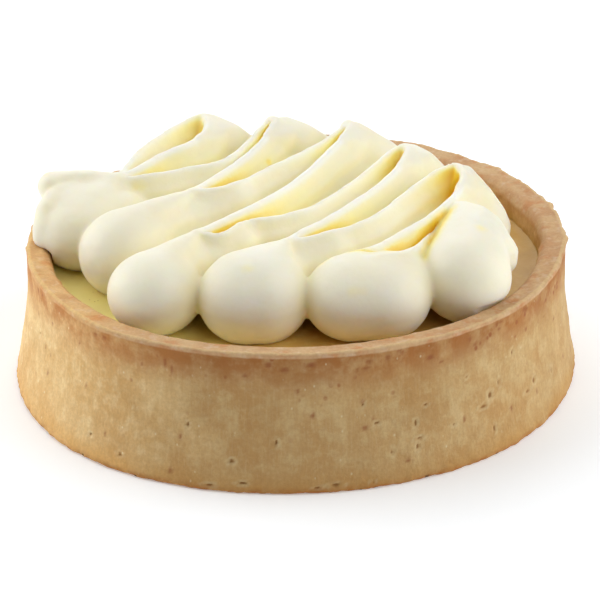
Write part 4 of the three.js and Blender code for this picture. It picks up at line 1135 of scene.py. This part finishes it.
def cream_material():
    m = Nodes("cream_whipped")
    soft = m.noise(90, 2.0, 0.5)
    fine = m.noise(1500, 3.0, 0.6)
    c = m.mix(m.ramp(soft, 0.3, 0.7), lin(246, 243, 228), lin(242, 237, 217))
    # painted shade: the cream yellower where it sees less of the sky, in hollows and creases and at its foot
    see = m.value("open")
    c = m.mix(m.ramp(see, 0.93, 0.40, 0, 0.70), c, lin(251, 240, 200))
    c = m.mix(m.ramp(see, 0.40, 0.14, 0, 0.50), c, lin(252, 234, 158))
    # painted shade: deep yellow down the folds, slits and nicks
    fold = m.value("fold")
    c = m.mix(m.ramp(fold, 0.02, 0.50, 0, 0.95, "LINEAR"), c, lin(255, 240, 166))
    c = m.mix(m.ramp(fold, 0.38, 0.84, 0, 1.0, "LINEAR"), c, lin(253, 215, 68))
    # painted light: the undersides lightened towards white
    c = m.mix(m.value("under"), c, lin(254, 249, 232))
    # painted highlight: whiter along the crests' cut edges
    c = m.mix(m.math("MULTIPLY", m.value("cut"), 0.9), c, lin(250, 251, 243))
    c = m.mix(m.ramp(fine, 0.55, 0.75, 0, 0.10), c, lin(228, 214, 170))
    m.link(c, m.bsdf.inputs["Base Color"])
    h = m.bump(m.noise(420, 3.0, 0.55), 0.18, 0.0004)
    m.link(m.bump(fine, 0.10, 0.0001, h), m.bsdf.inputs["Normal"])
    m.link(m.ramp(soft, 0.3, 0.7, 0.38, 0.48), m.bsdf.inputs["Roughness"])
    m.set(Specular_IOR_Level=0.4, Subsurface_Weight=0.65, Subsurface_Scale=0.0032)
    m.bsdf.inputs["Subsurface Radius"].default_value = (1.0, 0.82, 0.45)
    return m.mat


# ------------------------------------------------------------------ pieces
crust = build_crust()
crust.data.materials.append(pastry_material())
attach(crust, "root")
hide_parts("crust")

filling = build_filling()
filling.data.materials.append(curd_material())
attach(filling, "root")
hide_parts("filling")

cream = build_cream()
cream.data.materials.append(cream_material())
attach(cream, "root")
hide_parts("cream")

# ------------------------------------------------------------------- stage
def build_floor():
    me = bpy.data.meshes.new("floor")
    s = 0.57
    ring = [i * math.pi / 48 for i in range(96)]
    me.from_pydata([(s * math.cos(a), s * math.sin(a), 0) for a in ring], [], [tuple(range(96))])
    ob = bpy.data.objects.new("floor", me)
    bpy.context.scene.collection.objects.link(ob)
    m = Nodes("floor_pale")
    m.set(Base_Color=(0.90, 0.925, 0.95, 1.0), Roughness=0.7, Specular_IOR_Level=0.2,
          Emission_Color=(0.97, 0.99, 1.0, 1.0), Emission_Strength=0.23)
    me.materials.append(m.mat)
    ob.location.z = -0.00002
    return ob


build_floor()

world = bpy.data.worlds.new("studio")
bpy.context.scene.world = world
world.use_nodes = True
world.node_tree.nodes["Background"].inputs[0].default_value = (1.0, 1.0, 1.0, 1.0)
world.node_tree.nodes["Background"].inputs[1].default_value = 1.0
# the white room behind the table is seen, but the softboxes alone light the tart
world.cycles_visibility.diffuse = False
world.cycles_visibility.glossy = False
world.cycles_visibility.transmission = False


def soft_light(name, azimuth, elevation, distance, size, power, colour=(1, 1, 1)):
    """A square softbox aimed at the tart; azimuth 0 is on the viewer's side, positive to the right."""
    a, e = math.radians(azimuth), math.radians(elevation)
    back = np.array([math.sin(a) * math.cos(e), -math.cos(a) * math.cos(e), math.sin(e)])
    lt = bpy.data.lights.new(name, "AREA")
    lt.shape = "SQUARE"
    lt.size = size
    lt.energy = power
    lt.color = colour
    ob = bpy.data.objects.new(name, lt)
    bpy.context.scene.collection.objects.link(ob)
    z = back
    x = np.cross([0, 0, 1.0], z)
    x = x / np.linalg.norm(x) if np.linalg.norm(x) > 1e-6 else np.array([1.0, 0, 0])
    y = np.cross(z, x)
    p = back * distance + np.array([0, 0, 0.015])
    ob.matrix_world = Matrix(((x[0], y[0], z[0], p[0]), (x[1], y[1], z[1], p[1]), (x[2], y[2], z[2], p[2]), (0, 0, 0, 1)))
    return ob


LIGHTS = [
    ("left_low", -90, 10, 0.60, 0.50, 0.78),
    ("left_low_back", -122, 10, 0.60, 0.50, 1.15),
    ("left_high", -99, 40, 0.60, 0.60, 1.68),
    ("right_low", 97, 10, 0.60, 0.50, 1.10),
    ("right_high", 82, 36, 0.60, 0.60, 1.40),
    ("right_front", 40, 44, 0.40, 0.36, 0.52),
    ("behind", -178, 20, 0.60, 0.55, 1.0),
    ("top_behind", -165, 64, 0.60, 0.50, 1.02),
]
for spec in LIGHTS:
    soft_light(*spec)

# ------------------------------------------------------------------ camera
ELEVATION = 0.4417
ROLL = 0.02059
DISTANCE = 0.520
AIM = np.array([0.0, 0.0, 0.010])
FOCAL_PX = 3474.16
CENTRE_PX = (296.194, 303.901)
cam = bpy.data.cameras.new("camera")
co = bpy.data.objects.new("camera", cam)
bpy.context.scene.collection.objects.link(co)
ce, se = math.cos(ELEVATION), math.sin(ELEVATION)
back = np.array([0, -ce, se])
right = np.array([1.0, 0, 0])
up = np.array([0, se, ce])
cr, sr = math.cos(ROLL), math.sin(ROLL)
X = cr * right - sr * up
Y = sr * right + cr * up
C = back * DISTANCE + AIM
co.matrix_world = Matrix(((X[0], Y[0], back[0], C[0]), (X[1], Y[1], back[1], C[1]), (X[2], Y[2], back[2], C[2]), (0, 0, 0, 1)))
cam.sensor_width = 36
cam.lens = FOCAL_PX * 36 / 600
cam.shift_x = (300 - CENTRE_PX[0]) / 600
cam.shift_y = (CENTRE_PX[1] - 300) / 600
cam.clip_start = 0.01
cam.clip_end = 20
bpy.context.scene.camera = co
bpy.context.scene.view_settings.view_transform = "Standard"
